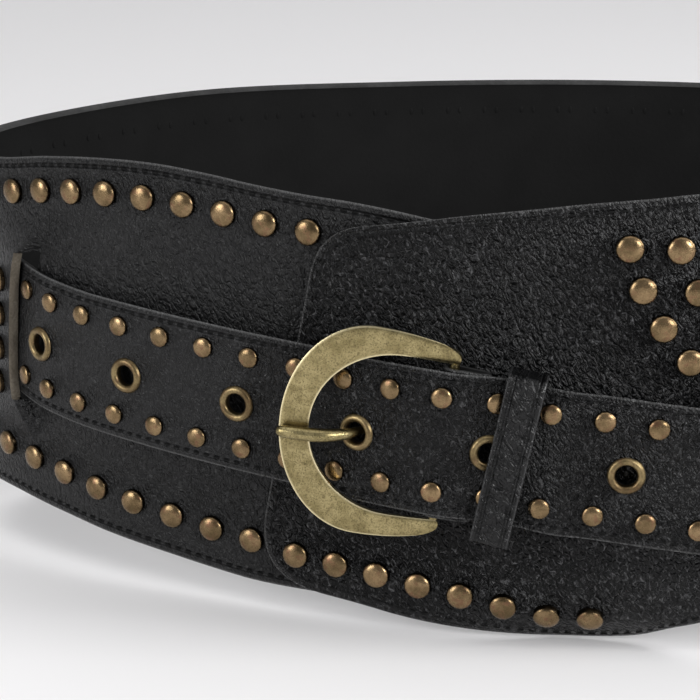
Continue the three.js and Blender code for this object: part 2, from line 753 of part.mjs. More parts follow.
// Keeper: a leather loop round the strap, right of the tab
function keeper() {
  const studTop = strapWall + smallStudRise;
  const outerOut = strapLift(keeperPlace - keeperWidth / 2, 0) + studTop + gap + keeperWall + 1;
  const deep = outerOut - gap;
  const ring = roundedBox(keeperTall, deep, 1.8);
  ring.holes.push(roundedBox(keeperTall - 2 * keeperWall, deep - 2 * keeperWall, 0.8));
  const shape = new THREE.ExtrudeGeometry(ring, { depth: keeperWidth, bevelEnabled: false, curveSegments: 3 });
  const lean = radians(keeperLean);
  const spots = shape.attributes.position;
  for (let k = 0; k < spots.count; k += 1) {
    const [across, out, run] = [spots.getX(k), spots.getY(k), spots.getZ(k) - keeperWidth / 2];
    const spot = bend(
      keeperPlace + run * Math.cos(lean) + across * Math.sin(lean),
      gap + deep / 2 + out,
      keeperHeight - run * Math.sin(lean) + across * Math.cos(lean),
    );
    spots.setXYZ(k, spot.x, spot.y, spot.z);
  }
  return toMesh('keeper', toSolid(shape), leather);
}

function roundedBox(width, height, round) {
  const [w, h] = [width / 2, height / 2];
  const box = new THREE.Shape();
  box.moveTo(-w + round, -h);
  box.lineTo(w - round, -h);
  box.absarc(w - round, -h + round, round, -Math.PI / 2, 0, false);
  box.lineTo(w, h - round);
  box.absarc(w - round, h - round, round, 0, Math.PI / 2, false);
  box.lineTo(-w + round, h);
  box.absarc(-w + round, h - round, round, Math.PI / 2, Math.PI, false);
  box.lineTo(-w, -h + round);
  box.absarc(-w + round, -h + round, round, Math.PI, Math.PI * 1.5, false);
  return box;
}

const belt = new THREE.Group();
belt.add(wideBand(), strap(), buckleFrame(), buckleTongue(), buckleTab(), keeper());
for (let number = 1; number <= eyeletCount; number += 1) belt.add(eyelet(number));

// The origin is the middle of the belt's footprint, on the floor
const extent = new THREE.Box3().setFromObject(belt);
const middle = extent.getCenter(new THREE.Vector3());
belt.position.set(-middle.x, -middle.y, -extent.min.z);

export default belt;
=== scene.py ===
import math
import bpy
import numpy as np
from mathutils import Matrix, Vector


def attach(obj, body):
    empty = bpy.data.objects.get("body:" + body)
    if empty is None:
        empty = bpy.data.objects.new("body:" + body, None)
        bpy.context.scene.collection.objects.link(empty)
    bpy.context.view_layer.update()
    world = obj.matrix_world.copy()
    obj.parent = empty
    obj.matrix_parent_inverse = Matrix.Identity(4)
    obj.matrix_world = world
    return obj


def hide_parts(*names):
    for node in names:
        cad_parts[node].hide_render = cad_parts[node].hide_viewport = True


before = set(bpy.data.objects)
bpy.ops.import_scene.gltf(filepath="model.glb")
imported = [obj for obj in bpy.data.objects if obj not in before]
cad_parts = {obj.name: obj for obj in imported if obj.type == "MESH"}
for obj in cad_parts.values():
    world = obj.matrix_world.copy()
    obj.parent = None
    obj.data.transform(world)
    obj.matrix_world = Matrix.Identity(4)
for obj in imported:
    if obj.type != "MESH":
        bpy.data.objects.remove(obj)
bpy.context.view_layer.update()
print("frame loaded")

# the belt is worked out flat, in millimetres, and bent to its loop; same sizes as the solids
loopSizes = {"width": 346, "depth": 170, "swell": 6, "swellTurns": (2.5, 3.15, 3.2, 3.75),
             "sideStretch": 0.017, "frontFlat": 0.045, "depthStretch": 0.0265, "height": 114, "wall": 2.6, "gap": 0.3,
             "footprintX": -3.032, "footprintY": 0.469}
rollSizes = {"height": 13, "ramp": 7, "angle": math.radians(41), "places": (-62, -12, 10, 62)}
endSizes = {"foot": -97, "lean": math.tan(math.radians(10.67)), "lowerRound": 19, "upperRound": 12,
            "hidden": -31, "tuckFrom": -150, "tuckTo": -105}
slotSizes = {"place": -174.6, "width": 5.5, "length": 42, "shift": 1, "lean": math.tan(math.radians(7)),
             "curl": 2.2, "diveFrom": -190, "diveTo": -158, "reach": 13}
strapSizes = {"width": 37, "wall": 2.4, "hole": -67.2, "height": 55, "fall": 0.09, "bow": 0.00016,
              "barRaise": 1.3, "barRun": (-26, -4, 10, 32), "slotRaise": 1.6, "slotRun": 30,
              "climbFrom": -34.5, "climbTo": -3, "descent": 18, "settle": (10, 22),
              "stretch": 0.9755, "squeeze": 0.0028, "squeezeFrom": -70,
              "inner": -216, "tip": 86, "tipRound": 15}
buckleSizes = {"bar": -46, "barHeight": 53.5, "barRadius": 1.2, "length": 40.6, "half": 26.8, "side": 7.4,
               "arm": 6.2, "wall": 2.4, "lean": math.radians(7), "rise": 0.165, "arch": 0.9, "tipBulge": 2.88}
tabSizes = {"wall": 1.0, "reach": 9}
keeperSizes = {"place": -29.8, "height": 51.1, "width": 9.2, "tall": 44.3, "wall": 1.2, "lean": math.radians(11)}

edgeRows = np.array([  # place round the loop, lower edge, upper edge
    (-0.13, 0.092, 0.89), (-0.112, 0.085, 0.9), (-0.084, 0.063, 0.917), (-0.066, 0.041, 0.937),
    (-0.05, 0.023, 0.958), (-0.03, 0.004, 0.98), (-0.016, 0, 0.995), (0.003, 0.014, 1.011),
    (0.0145, 0.05, 1.022), (0.035, 0.1, 1.03), (0.08, 0.117, 1.026), (0.17, 0.13, 1), (0.25, 0.125, 0.97),
    (0.34, 0.04, 0.995), (0.42, 0, 1), (0.5, 0, 1), (0.58, 0, 1), (0.66, 0.04, 1.004), (0.75, 0.137, 0.968),
    (0.783, 0.15, 0.962), (0.81, 0.134, 0.99), (0.832, 0.1145, 1.006), (0.851, 0.0955, 1.008),
    (0.869, 0.0763, 0.997), (0.884, 0.065, 0.984), (0.901, 0.062, 0.972), (0.916, 0.062, 0.964),
    (0.931, 0.065, 0.95), (0.963, 0.06, 0.91)])


def ease(start, end, value):
    t = np.clip((np.asarray(value, float) - start) / (end - start), 0, 1)
    return t * t * (3 - 2 * t)


# the loop from above: an oval with a flatter front, drawn out a little at the left
def makeLoop():
    turn = np.linspace(-math.pi / 2, math.pi * 1.5, 6001)
    z = loopSizes
    growFrom, growTo, shrinkFrom, shrinkTo = z["swellTurns"]
    swell = z["swell"] * ease(growFrom, growTo, turn) * (1 - ease(shrinkFrom, shrinkTo, turn))
    x = z["width"] / 2 * (np.cos(turn) + z["sideStretch"] * np.cos(3 * turn)) - swell
    y = z["depth"] / 2 * (np.sin(turn) - z["frontFlat"] * np.cos(2 * turn) - z["depthStretch"] * np.sin(3 * turn))
    run = np.concatenate([[0], np.cumsum(np.hypot(np.diff(x), np.diff(y)))])
    wayX, wayY = np.gradient(x, run), np.gradient(y, run)
    return run, x, y, wayX, wayY


loopRun, loopX, loopY, loopWayX, loopWayY = makeLoop()
loopLength = loopRun[-1]


# a column of the edge rows at places round the loop, on a smooth curve through the rows
def tableAt(column, along):
    place = np.asarray(along, float) / loopLength
    p, v = edgeRows[:, 0], edgeRows[:, column]
    k = np.clip(np.searchsorted(p, place) - 1, 1, len(p) - 2)
    after = np.minimum(k + 2, len(p) - 1)
    span = p[k + 1] - p[k]
    t = (place - p[k]) / span
    first = (v[k + 1] - v[k - 1]) / (p[k + 1] - p[k - 1]) * span
    second = (v[after] - v[k]) / (p[after] - p[k]) * span
    return v[k] + t * t * (3 - 2 * t) * (v[k + 1] - v[k]) + t * (1 - t) ** 2 * first - t * t * (1 - t) * second


# the angle by which the lower edge rolls under, near the front's middle only
def rollAt(along):
    near = np.where(along > loopLength / 2, along - loopLength, along)
    riseFrom, riseTo, fallFrom, fallTo = rollSizes["places"]
    return np.maximum(rollSizes["angle"] * ease(riseFrom, riseTo, near) * (1 - ease(fallFrom, fallTo, near)), 1e-6)


def flatHeight(along, height):
    angle, ramp = rollAt(along), rollSizes["ramp"]
    rampFall = np.sin(angle) * ramp / angle
    fall = rollSizes["height"] - height
    inRamp = rollSizes["height"] - np.arcsin(np.clip(fall * angle / ramp, 0, 1)) * ramp / angle
    under = rollSizes["height"] - ramp - (fall - rampFall) / np.cos(angle)
    return np.where(fall <= 0, height, np.where(fall <= rampFall, inRamp, under))


def lowerEdge(along):
    return flatHeight(along, loopSizes["height"] * np.maximum(tableAt(1, along), 0))


def upperEdge(along):
    return loopSizes["height"] * tableAt(2, along)


# a place on the flat belt to its place on the standing loop, in metres
def bend(along, out, up):
    along, out, up = np.broadcast_arrays(*[np.asarray(a, float) for a in (along, out, up)])
    run = np.mod(along, loopLength)
    x, y = np.interp(run, loopRun, loopX), np.interp(run, loopRun, loopY)
    wayX, wayY = np.interp(run, loopRun, loopWayX), np.interp(run, loopRun, loopWayY)
    angle, ramp = rollAt(run), rollSizes["ramp"]
    below = np.maximum(rollSizes["height"] - up, 0)
    ramped = np.minimum(below, ramp)
    tilt = angle * ramped / ramp
    inward = (1 - np.cos(tilt)) * ramp / angle + (below - ramped) * np.sin(angle)
    fall = np.sin(tilt) * ramp / angle + (below - ramped) * np.cos(angle)
    reach = out * np.cos(tilt) - inward
    height = np.maximum(up, rollSizes["height"]) - fall - out * np.sin(tilt)
    return np.stack([x + wayY * reach - loopSizes["footprintX"], y - wayX * reach - loopSizes["footprintY"], height],
                    axis=-1) / 1000


gap = loopSizes["gap"]
barOut = gap + tabSizes["wall"] + gap + buckleSizes["barRadius"]
overBar = 4 * gap + 2 * tabSizes["wall"] + 2 * buckleSizes["barRadius"]
behindBand = -(loopSizes["wall"] + 2 * gap + strapSizes["wall"])
onKeeper = 2 * gap + keeperSizes["wall"]


def strapHeight(along):
    z, slot = strapSizes, slotSizes["place"]
    past = np.asarray(along) - z["hole"]
    riseFrom, riseTo, fallFrom, fallTo = [buckleSizes["bar"] + run for run in z["barRun"]]
    onBar = ease(riseFrom, riseTo, along) * (1 - ease(fallFrom, fallTo, along))
    return (z["height"] - z["fall"] * past - z["bow"] * past * past
            + z["barRaise"] * onBar + z["slotRaise"] * (1 - ease(slot, slot + z["slotRun"], along)))


strapTilt = math.atan(strapSizes["fall"])


def climbFromSlot(along):
    return (gap - behindBand) * ease(slotSizes["diveFrom"], slotSizes["diveTo"], along)


# how far the strap's inner face stands off the loop: out of the slot, over the bar, on the keeper, down again
def strapLift(along):
    z, bar, keeper = strapSizes, buckleSizes["bar"], keeperSizes["place"]
    return (behindBand + climbFromSlot(along)
            + (overBar - gap) * ease(bar + z["climbFrom"], bar + z["climbTo"], along)
            + (onKeeper - overBar) * ease(bar, bar + z["descent"], along)
            + (gap - onKeeper) * ease(keeper + z["settle"][0], keeper + z["settle"][1], along))


slotMiddle = float(strapHeight(slotSizes["place"])) + slotSizes["shift"]


def slotShift(up):
    past = (up - slotMiddle) / (slotSizes["length"] / 2)
    return slotSizes["lean"] * (up - slotMiddle) + slotSizes["curl"] * np.clip(past, -1.3, 1.3) ** 4


# the leather left of the slot rides up over the strap, and right of it gives way under the strap
def bandPoint(along, out, up):
    near = np.asarray(along, float) - loopLength
    tuck = (loopSizes["wall"] + loopSizes["gap"]) * ease(endSizes["tuckFrom"], endSizes["tuckTo"], near)
    half = slotSizes["length"] / 2
    reach = 1 - ease(half - 1, half + slotSizes["reach"], np.abs(np.asarray(up, float) - slotMiddle))
    left = slotSizes["place"] + slotShift(np.asarray(up, float))
    past = (gap - behindBand) * ease(left + 0.5, left + slotSizes["width"] - 0.5, near)
    swell = np.where(near > -400, reach * (climbFromSlot(near) - past), 0)
    return bend(along, out - tuck + swell, up)


def strapPoint(along, out, across):
    along, out, across = np.broadcast_arrays(*[np.asarray(a, float) for a in (along, out, across)])
    return bend(along + across * math.sin(strapTilt), strapLift(along) + out,
                strapHeight(along) + across * math.cos(strapTilt))


def strapAlong(length):
    beyond = max(strapSizes["squeezeFrom"] - length, 0)
    return strapSizes["hole"] + strapSizes["stretch"] * length + strapSizes["squeeze"] * beyond * beyond


def makeCamera(eye, yaw, pitch, roll, lens):
    ahead = Vector((math.sin(yaw) * math.cos(pitch), math.cos(yaw) * math.cos(pitch), -math.sin(pitch)))
    level = Vector((math.cos(yaw), -math.sin(yaw), 0))
    rise = level.cross(ahead)
    right = level * math.cos(roll) + rise * math.sin(roll)
    top = rise * math.cos(roll) - level * math.sin(roll)
    data = bpy.data.cameras.new("photoCamera")
    data.lens, data.sensor_width = lens, 36
    camera = bpy.data.objects.new("photoCamera", data)
    bpy.context.scene.collection.objects.link(camera)
    camera.matrix_world = Matrix((right, top, -ahead)).transposed().to_4x4()
    camera.location = Vector(eye)
    bpy.context.scene.camera = camera


makeCamera((-0.021365, -0.563692, 0.221599), -0.0931, 0.2930, 0.0056, 107.73)
print("camera ready")


class Wire:
    def __init__(self, kit, socket):
        self.kit, self.socket = kit, socket

    def math(self, operation, a, b):
        return self.kit.node("ShaderNodeMath", {"operation": operation}, {0: a, 1: b}).out(0)

    def __add__(self, other): return self.math("ADD", self, other)
    def __radd__(self, other): return self.math("ADD", other, self)
    def __sub__(self, other): return self.math("SUBTRACT", self, other)
    def __rsub__(self, other): return self.math("SUBTRACT", other, self)
    def __mul__(self, other): return self.math("MULTIPLY", self, other)
    def __rmul__(self, other): return self.math("MULTIPLY", other, self)
    def __truediv__(self, other): return self.math("DIVIDE", self, other)
    def __pow__(self, other): return self.math("POWER", self, other)


class Kit:
    def __init__(self, name):
        self.material = bpy.data.materials.new(name)
        self.material.use_nodes = True
        self.tree = self.material.node_tree
        self.shader = self.tree.nodes["Principled BSDF"]

    def node(self, kind, settings=None, values=None):
        made = self.tree.nodes.new(kind)
        for key, value in (settings or {}).items():
            setattr(made, key, value)
        for key, value in (values or {}).items():
            self.plug(made.inputs[key], value)
        return Made(self, made)

    def plug(self, socket, value):
        if isinstance(value, Wire):
            self.tree.links.new(value.socket, socket)
        else:
            socket.default_value = value

    def set(self, **values):
        for key, value in values.items():
            self.plug(self.shader.inputs[key.replace("_", " ")], value)
        return self


class Made:
    def __init__(self, kit, made):
        self.kit, self.made = kit, made

    def out(self, key):
        return Wire(self.kit, self.made.outputs[key])


def readUv(kit):
    return kit.node("ShaderNodeUVMap", {"uv_map": "flat"}).out("UV")


def placeOf(kit):
    return kit.node("ShaderNodeTexCoord").out("Object")


def stretched(kit, vector, scale, lean=0.0):
    turned = kit.node("ShaderNodeMapping", None, {"Vector": vector, "Rotation": (0, 0, -lean)}).out(0)
    return kit.node("ShaderNodeMapping", None, {"Vector": turned, "Scale": scale}).out(0)


def noiseOf(kit, vector, scale, detail=3.0, roughness=0.55, distortion=0.0):
    return kit.node("ShaderNodeTexNoise", None, {"Vector": vector, "Scale": scale, "Detail": detail,
                                                 "Roughness": roughness, "Distortion": distortion}).out("Fac")


def cellsOf(kit, vector, scale, feature="SMOOTH_F1"):
    return kit.node("ShaderNodeTexVoronoi", {"feature": feature}, {"Vector": vector, "Scale": scale}).out("Distance")


def ramped(kit, value, low, high):
    return kit.node("ShaderNodeMapRange", {"interpolation_type": "SMOOTHSTEP"},
                    {"Value": value, "From Min": low, "From Max": high}).out(0)


def mixed(kit, factor, first, second):
    return kit.node("ShaderNodeMix", {"data_type": "RGBA"}, {0: factor, 6: first, 7: second}).out(2)


def bumped(kit, height, strength, distance):
    return kit.node("ShaderNodeBump", None, {"Height": height, "Strength": strength, "Distance": distance}).out(0)


def reading(kit, name):
    return kit.node("ShaderNodeAttribute", {"attribute_name": name}).out("Fac")


def away(kit, value):
    return kit.node("ShaderNodeMath", {"operation": "ABSOLUTE"}, {0: value}).out(0)


# glint is the colour of painted glints, rim of a painted highlight along the cut edges, worn the lighter grey of
# random tone patches and painted sheen
leatherLook = {"dark": (0.0024, 0.0024, 0.0026, 1), "worn": (0.013, 0.013, 0.0134, 1), "pebble": 620.0,
               "roughness": 0.25, "bump": 0.0016, "stitchAt": 0.0023, "shine": 0.24,
               "glint": (0.105, 0.105, 0.108, 1), "rim": (0.065, 0.065, 0.065, 1), "paintedGlintShare": 0.7}


def warped(kit, vector, scale, amount):
    wander = kit.node("ShaderNodeTexNoise", None, {"Vector": vector, "Scale": scale, "Detail": 2.0}).out("Color")
    moved = kit.node("ShaderNodeVectorMath", {"operation": "MULTIPLY"}, {0: wander, 1: (amount, amount, 0)}).out(0)
    return kit.node("ShaderNodeVectorMath", {"operation": "ADD"}, {0: vector, 1: moved}).out(0)


def grainedLeather(name, look, creases=1.0):
    kit = Kit(name)
    flat = readUv(kit)
    amount, edge = reading(kit, "pebble"), reading(kit, "edge")
    patches = noiseOf(kit, flat, 70, 3)
    leaned = stretched(kit, warped(kit, flat, 420, 0.0022), (1.0, 0.55, 1.0), 0.42)
    rims = cellsOf(kit, leaned, look["pebble"], "DISTANCE_TO_EDGE")
    smallRims = cellsOf(kit, leaned, look["pebble"] * 2.1, "DISTANCE_TO_EDGE")
    cells, small = ramped(kit, rims, 0.0, 0.22), ramped(kit, smallRims, 0.0, 0.3)
    net = 1 - ramped(kit, rims, 0.02, 0.08)
    smallNet = 1 - ramped(kit, smallRims, 0.03, 0.12)
    swell = noiseOf(kit, flat, 330, 2)
    fine = noiseOf(kit, leaned, 3000, 2, 0.6)
    streaks = noiseOf(kit, stretched(kit, flat, (1.0, 0.1, 1.0), 0.04), 1100, 3, 0.7, 0.4)
    folds = noiseOf(kit, stretched(kit, flat, (1.0, 0.3, 1.0), 0.5), 420, 3, 0.55, 0.5)
    creased = 1 - ramped(kit, away(kit, folds - 0.5), 0.0, 0.05)
    groove = 1 - ramped(kit, away(kit, edge - look["stitchAt"]), 0.0001, 0.0008)
    grain = cells * 0.55 + small * 0.3 + swell * 0.5 - creased * creases * 0.3
    height = grain * (amount * 0.93 + 0.07) + fine * 0.06 + streaks * (0.26 - 0.2 * amount) - groove * 0.6
    # painted sheen: a lighter band along the stitch line; the base also pales in random tone patches and is paler on
    # the smoother, less pebbled part
    stitchSheen = 1 - ramped(kit, away(kit, edge - look["stitchAt"]), 0.0004, 0.0014)
    toneAndSheen = ramped(kit, patches, 0.45, 0.8) * 0.15 + (1 - amount) * 0.35 + stitchSheen * 0.55
    skin = mixed(kit, toneAndSheen, look["dark"], look["worn"])
    # painted glints: a thin broken network of light lines along the pebble rims, mixed into the base colour in the
    # glint colour
    broken = ramped(kit, noiseOf(kit, leaned, 1100, 2, 0.5), 0.46, 0.66)
    paintedGlints = (net * 0.65 + smallNet * 0.35) * (broken * amount * look["paintedGlintShare"])
    # painted highlight: a thin light line in the rim colour along the cut edges, laid over the painted glints
    paintedEdgeHighlight = mixed(kit, ramped(kit, edge, 0.0007, 0.0002), mixed(kit, paintedGlints, skin, look["glint"]), look["rim"])
    kit.set(Base_Color=paintedEdgeHighlight, Specular_IOR_Level=look["shine"],
            Roughness=look["roughness"] + 0.14 * (1 - amount) + 0.2 * (patches - 0.5),
            Normal=bumped(kit, height, 1.0, look["bump"]))
    return kit.material


def plainLeather(name, colour, worn, roughness, scale=900, depth=0.0001):
    kit = Kit(name)
    place = placeOf(kit)
    fuzz = noiseOf(kit, place, scale, 4, 0.65)
    patches = noiseOf(kit, place, 60, 3)
    kit.set(Base_Color=mixed(kit, ramped(kit, patches * 0.6 + fuzz * 0.4, 0.35, 0.7), colour, worn),
            Specular_IOR_Level=0.15, Roughness=roughness + 0.15 * (fuzz - 0.5), Normal=bumped(kit, fuzz, 0.7, depth))
    return kit.material


def wrinkledLeather(name, look):
    kit = Kit(name)
    flat = readUv(kit)
    edge = reading(kit, "edge")
    folds = noiseOf(kit, stretched(kit, flat, (1.0, 0.45, 1.0), 0.9), 620, 2, 0.55, 0.8)
    sharp = 1 - ramped(kit, away(kit, folds - 0.5), 0.0, 0.022)
    shine = noiseOf(kit, flat, 240, 2)
    broken = ramped(kit, noiseOf(kit, flat, 900, 2), 0.4, 0.65)
    groove = 1 - ramped(kit, away(kit, edge - 0.0017), 0.0001, 0.0006)
    # painted glints along the sharp fold ridges and a painted highlight along both edges, in the glint colour
    lit = sharp * broken * 0.55 + ramped(kit, edge, 0.0006, 0.0002) * 0.25
    kit.set(Base_Color=mixed(kit, lit, look["dark"], look["glint"]), Specular_IOR_Level=0.3,
            Roughness=0.14 + 0.2 * shine, Normal=bumped(kit, folds * 2.0 - sharp * 0.3 - groove, 1.0, 0.0011))
    return kit.material


brassLook = {"bright": (0.29, 0.2, 0.108, 1), "olive": (0.135, 0.094, 0.048, 1), "copper": (0.2, 0.105, 0.064, 1),
             "dark": (0.045, 0.03, 0.015, 1), "rimShadow": (0.02, 0.014, 0.008, 1), "edgeHighlight": (0.6, 0.46, 0.27, 1)}
buckleLook = {"bright": (0.40, 0.33, 0.165, 1), "olive": (0.24, 0.195, 0.09, 1), "copper": (0.26, 0.185, 0.095, 1),
              "dark": (0.07, 0.055, 0.028, 1), "rimShadow": (0.05, 0.04, 0.02, 1), "edgeHighlight": (0.85, 0.74, 0.46, 1)}


def agedBrass(name, look, roughness, copper=0.4, speckle=0.3, scale=1.0):
    kit = Kit(name)
    place = placeOf(kit)
    patches = noiseOf(kit, place, 210 * scale, 3, 0.6)
    blotches = noiseOf(kit, place, 480 * scale, 4, 0.7)
    specks = noiseOf(kit, place, 2400, 3, 0.7)
    base = mixed(kit, ramped(kit, patches, 0.3, 0.7), look["bright"], look["olive"])
    warm = mixed(kit, ramped(kit, blotches, 0.5, 0.68) * copper, base, look["copper"])
    spotted = mixed(kit, ramped(kit, specks, 0.45, 0.68) * speckle, warm, look["dark"])
    # painted contact shadow: the outermost rim of each stud dome turns a dark brown
    rimShadowed = mixed(kit, ramped(kit, reading(kit, "rim"), 0.9, 1.0), spotted, look["rimShadow"])
    # painted highlight: the frame's inner and outer edge lines turn a bright pale brass
    worn = mixed(kit, ramped(kit, reading(kit, "edgeHighlightMask"), 0.4, 0.95) * 0.85, rimShadowed, look["edgeHighlight"])
    kit.set(Base_Color=worn, Metallic=1.0, Roughness=roughness + 0.25 * (blotches - 0.5) + 0.15 * (specks - 0.5),
            Normal=bumped(kit, specks + blotches, 0.4, 0.00008))
    return kit.material


looks = {
    "band": grainedLeather("bandLeather", leatherLook),
    "strap": grainedLeather("strapLeather", dict(leatherLook, pebble=760.0, bump=0.001, stitchAt=0.0021,
                                                 paintedGlintShare=0.4), 0.8),
    "inside": plainLeather("insideLeather", (0.004, 0.004, 0.004, 1), (0.0065, 0.0065, 0.0065, 1), 0.78),
    "edge": plainLeather("paintedEdge", (0.014, 0.014, 0.014, 1), (0.04, 0.04, 0.04, 1), 0.4, 700, 0.00015),
    "raw": plainLeather("rawEdge", (0.08, 0.068, 0.052, 1), (0.20, 0.175, 0.14, 1), 0.9, 1400, 0.0003),
    "thread": plainLeather("blackThread", (0.002, 0.002, 0.002, 1), (0.005, 0.005, 0.005, 1), 0.75, 2600, 0.00012),
    "keeper": wrinkledLeather("keeperLeather", leatherLook),
    "stud": agedBrass("studBrass", brassLook, 0.27, 0.75, 0.35),
    "buckle": agedBrass("buckleBrass", buckleLook, 0.3, 0.2, 0.7, 1.5),
    "eyelet": agedBrass("eyeletBrass", dict(brassLook, bright=(0.30, 0.23, 0.115, 1)), 0.38, 0.35, 0.5)}
print("materials ready")


def deselectAll():
    if bpy.context.object and bpy.context.object.mode != "OBJECT":
        bpy.ops.object.mode_set(mode="OBJECT")
    bpy.ops.object.select_all(action="DESELECT")


def pick(thing):
    deselectAll()
    thing.select_set(True)
    bpy.context.view_layer.objects.active = thing
    return thing


def spotsOf(thing):
    spots = np.empty(len(thing.data.vertices) * 3)
    thing.data.vertices.foreach_get("co", spots)
    return spots.reshape(-1, 3)


def moveSpots(thing, spots):
    thing.data.vertices.foreach_set("co", np.ascontiguousarray(spots, dtype=float).ravel())
    thing.data.update()


def modify(thing, kind, **settings):
    pick(thing)
    modifier = thing.modifiers.new(kind.lower(), kind)
    for key, value in settings.items():
        setattr(modifier, key, value)
    bpy.ops.object.modifier_apply(modifier=modifier.name)


def chooseFaces(thing, mask):
    pick(thing)
    bpy.ops.object.mode_set(mode="EDIT")
    bpy.ops.mesh.select_mode(type="FACE")
    bpy.ops.mesh.select_all(action="DESELECT")
    bpy.ops.object.mode_set(mode="OBJECT")
    thing.data.polygons.foreach_set("select", np.ascontiguousarray(mask, dtype=bool))
    bpy.ops.object.mode_set(mode="EDIT")


def faceValues(thing, name, width):
    values = np.empty(len(thing.data.polygons) * width)
    thing.data.polygons.foreach_get(name, values)
    return values.reshape(-1, width) if width > 1 else values


def sheet(name, columns, rows):
    deselectAll()
    bpy.ops.mesh.primitive_grid_add(x_subdivisions=columns, y_subdivisions=rows, size=2, calc_uvs=False)
    made = bpy.context.object
    made.name = name
    spots = spotsOf(made)
    i = np.unique(np.round(spots[:, 0], 5), return_inverse=True)[1]
    j = np.unique(np.round(spots[:, 1], 5), return_inverse=True)[1]
    return made, i, j


def layFlat(thing, along, up):
    layer = thing.data.uv_layers.new(name="flat")
    corners = np.empty(len(thing.data.loops), int)
    thing.data.loops.foreach_get("vertex_index", corners)
    layer.data.foreach_set("uv", (np.stack([along, up], axis=1) / 1000)[corners].ravel())


def noteReading(thing, name, values):
    layer = thing.data.attributes.new(name, "FLOAT", "POINT")
    layer.data.foreach_set("value", np.ascontiguousarray(values, dtype=np.float32))


def dress(thing, *names):
    for name in names:
        thing.data.materials.append(looks[name])


def smooth(thing, angle=40):
    pick(thing)
    bpy.ops.object.shade_smooth_by_angle(angle=math.radians(angle))


def keep(thing, slot, *nodes):
    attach(thing, "root")
    if nodes:
        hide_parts(*nodes)
    return thing


def standAt(surface, along, across, turn=0.0):
    here = surface(along, across)
    side = surface(along + 0.3, across) - surface(along - 0.3, across)
    rise = surface(along, across + 0.3) - surface(along, across - 0.3)
    out = Vector(np.cross(side, rise)).normalized()
    way = (Vector(side).normalized() * math.cos(turn) + Vector(rise).normalized() * math.sin(turn)).normalized()
    return Matrix.Translation(Vector(here)) @ Matrix((way, out.cross(way), out)).transposed().to_4x4()


def spreadCopies(model, name, places):
    copies = []
    for place in places:
        copy = model.copy()
        copy.data = model.data.copy()
        copy.data.transform(place)
        bpy.context.scene.collection.objects.link(copy)
        copies.append(copy)
    bpy.data.objects.remove(model)
    deselectAll()
    for copy in copies:
        copy.select_set(True)
    bpy.context.view_layer.objects.active = copies[0]
    bpy.ops.object.join()
    joined = bpy.context.object
    joined.name = name
    return joined


bandSizes = {"upperInset": 9, "leftPitch": 11.7, "rightPitch": 10.8, "topStart": -82.6, "footStart": -98.7,
             "endStart": -84.9, "leftFootInset": 11.3, "rightFootInset": 9.1, "footDrift": 0.024,
             "topSqueeze": 0.0003, "leftDrift": 0.00024, "driftRun": 94, "sideTop": 12.6, "sidePitch": 9.9,
             "sideInset": 6.2, "stud": 3.45, "studRise": 2.1, "swagPlace": 54.6, "swagRadius": 60,
             "swagStep": 11.4, "swagPitch": 10.8, "swagAbove": 4, "swagTopShare": 0.905,
             "stitchInset": 2.3, "stitchPitch": 3.05}
edgeSteps = np.array([0, .01, .03, .06, .1, .15, .2, .26, .32, .4, .5, .64, .8, 1])


def bandGrid():
    low, high = slotMiddle - slotSizes["length"] / 2, slotMiddle + slotSizes["length"] / 2
    left, foot = loopLength + slotSizes["place"], endSizes["foot"]
    right, hidden = left + slotSizes["width"], loopLength + endSizes["hidden"]
    bases = np.concatenate([np.linspace(foot, left, 287)[:-1], np.linspace(left, right, 7)[:-1],
                            np.linspace(right, hidden, 52)])

    def heights(along):
        bottom, top = lowerEdge(along), upperEdge(along)
        parts = [bottom + (low - bottom) * f for f in edgeSteps[:-1]]
        parts += [low + (high - low) * f for f in np.linspace(0, 1, 11)[:-1]]
        parts += [top - (top - high) * f for f in edgeSteps[::-1]]
        return np.stack(np.broadcast_arrays(*parts), axis=-1)

    firstUp = heights(np.array([foot]))[0]
    footUp = float(lowerEdge(foot))
    headUp = float(upperEdge(foot + endSizes["lean"] * loopSizes["height"]))
    edgeUp = footUp + (firstUp - firstUp[0]) / (firstUp[-1] - firstUp[0]) * (headUp - footUp)
    low1 = np.clip((edgeUp - footUp) / endSizes["lowerRound"], 0, 1)
    top1 = np.clip((headUp - edgeUp) / endSizes["upperRound"], 0, 1)
    endShift = (endSizes["lean"] * (edgeUp - footUp) + endSizes["lowerRound"] * (1 - np.sqrt(low1)) ** 2
                + endSizes["upperRound"] * (1 - np.sqrt(top1)) ** 2)
    up = heights(bases)
    fade = np.clip(1 - (bases - foot) / 85, 0, 1)[:, None]
    near = np.maximum(np.maximum(left - bases, bases - right), 0)
    lean = slotShift(up) * (1 - ease(0, 60, near))[:, None]
    along = bases[:, None] + endShift[None, :] * fade + lean
    rows = up.shape[1]
    up = np.stack([heights(along[:, j])[:, j] for j in range(rows)], axis=1)
    endGap = (along - (foot + endShift)[None, :]) * 0.98
    edge = np.minimum(np.minimum(up - up[:, :1], up[:, -1:] - up), np.minimum(endGap, hidden - along + 0 * up))
    slotColumns, slotRows = (286, 292), (len(edgeSteps) - 1, len(edgeSteps) + 9)
    return along, up, np.maximum(edge, 0), slotColumns, slotRows


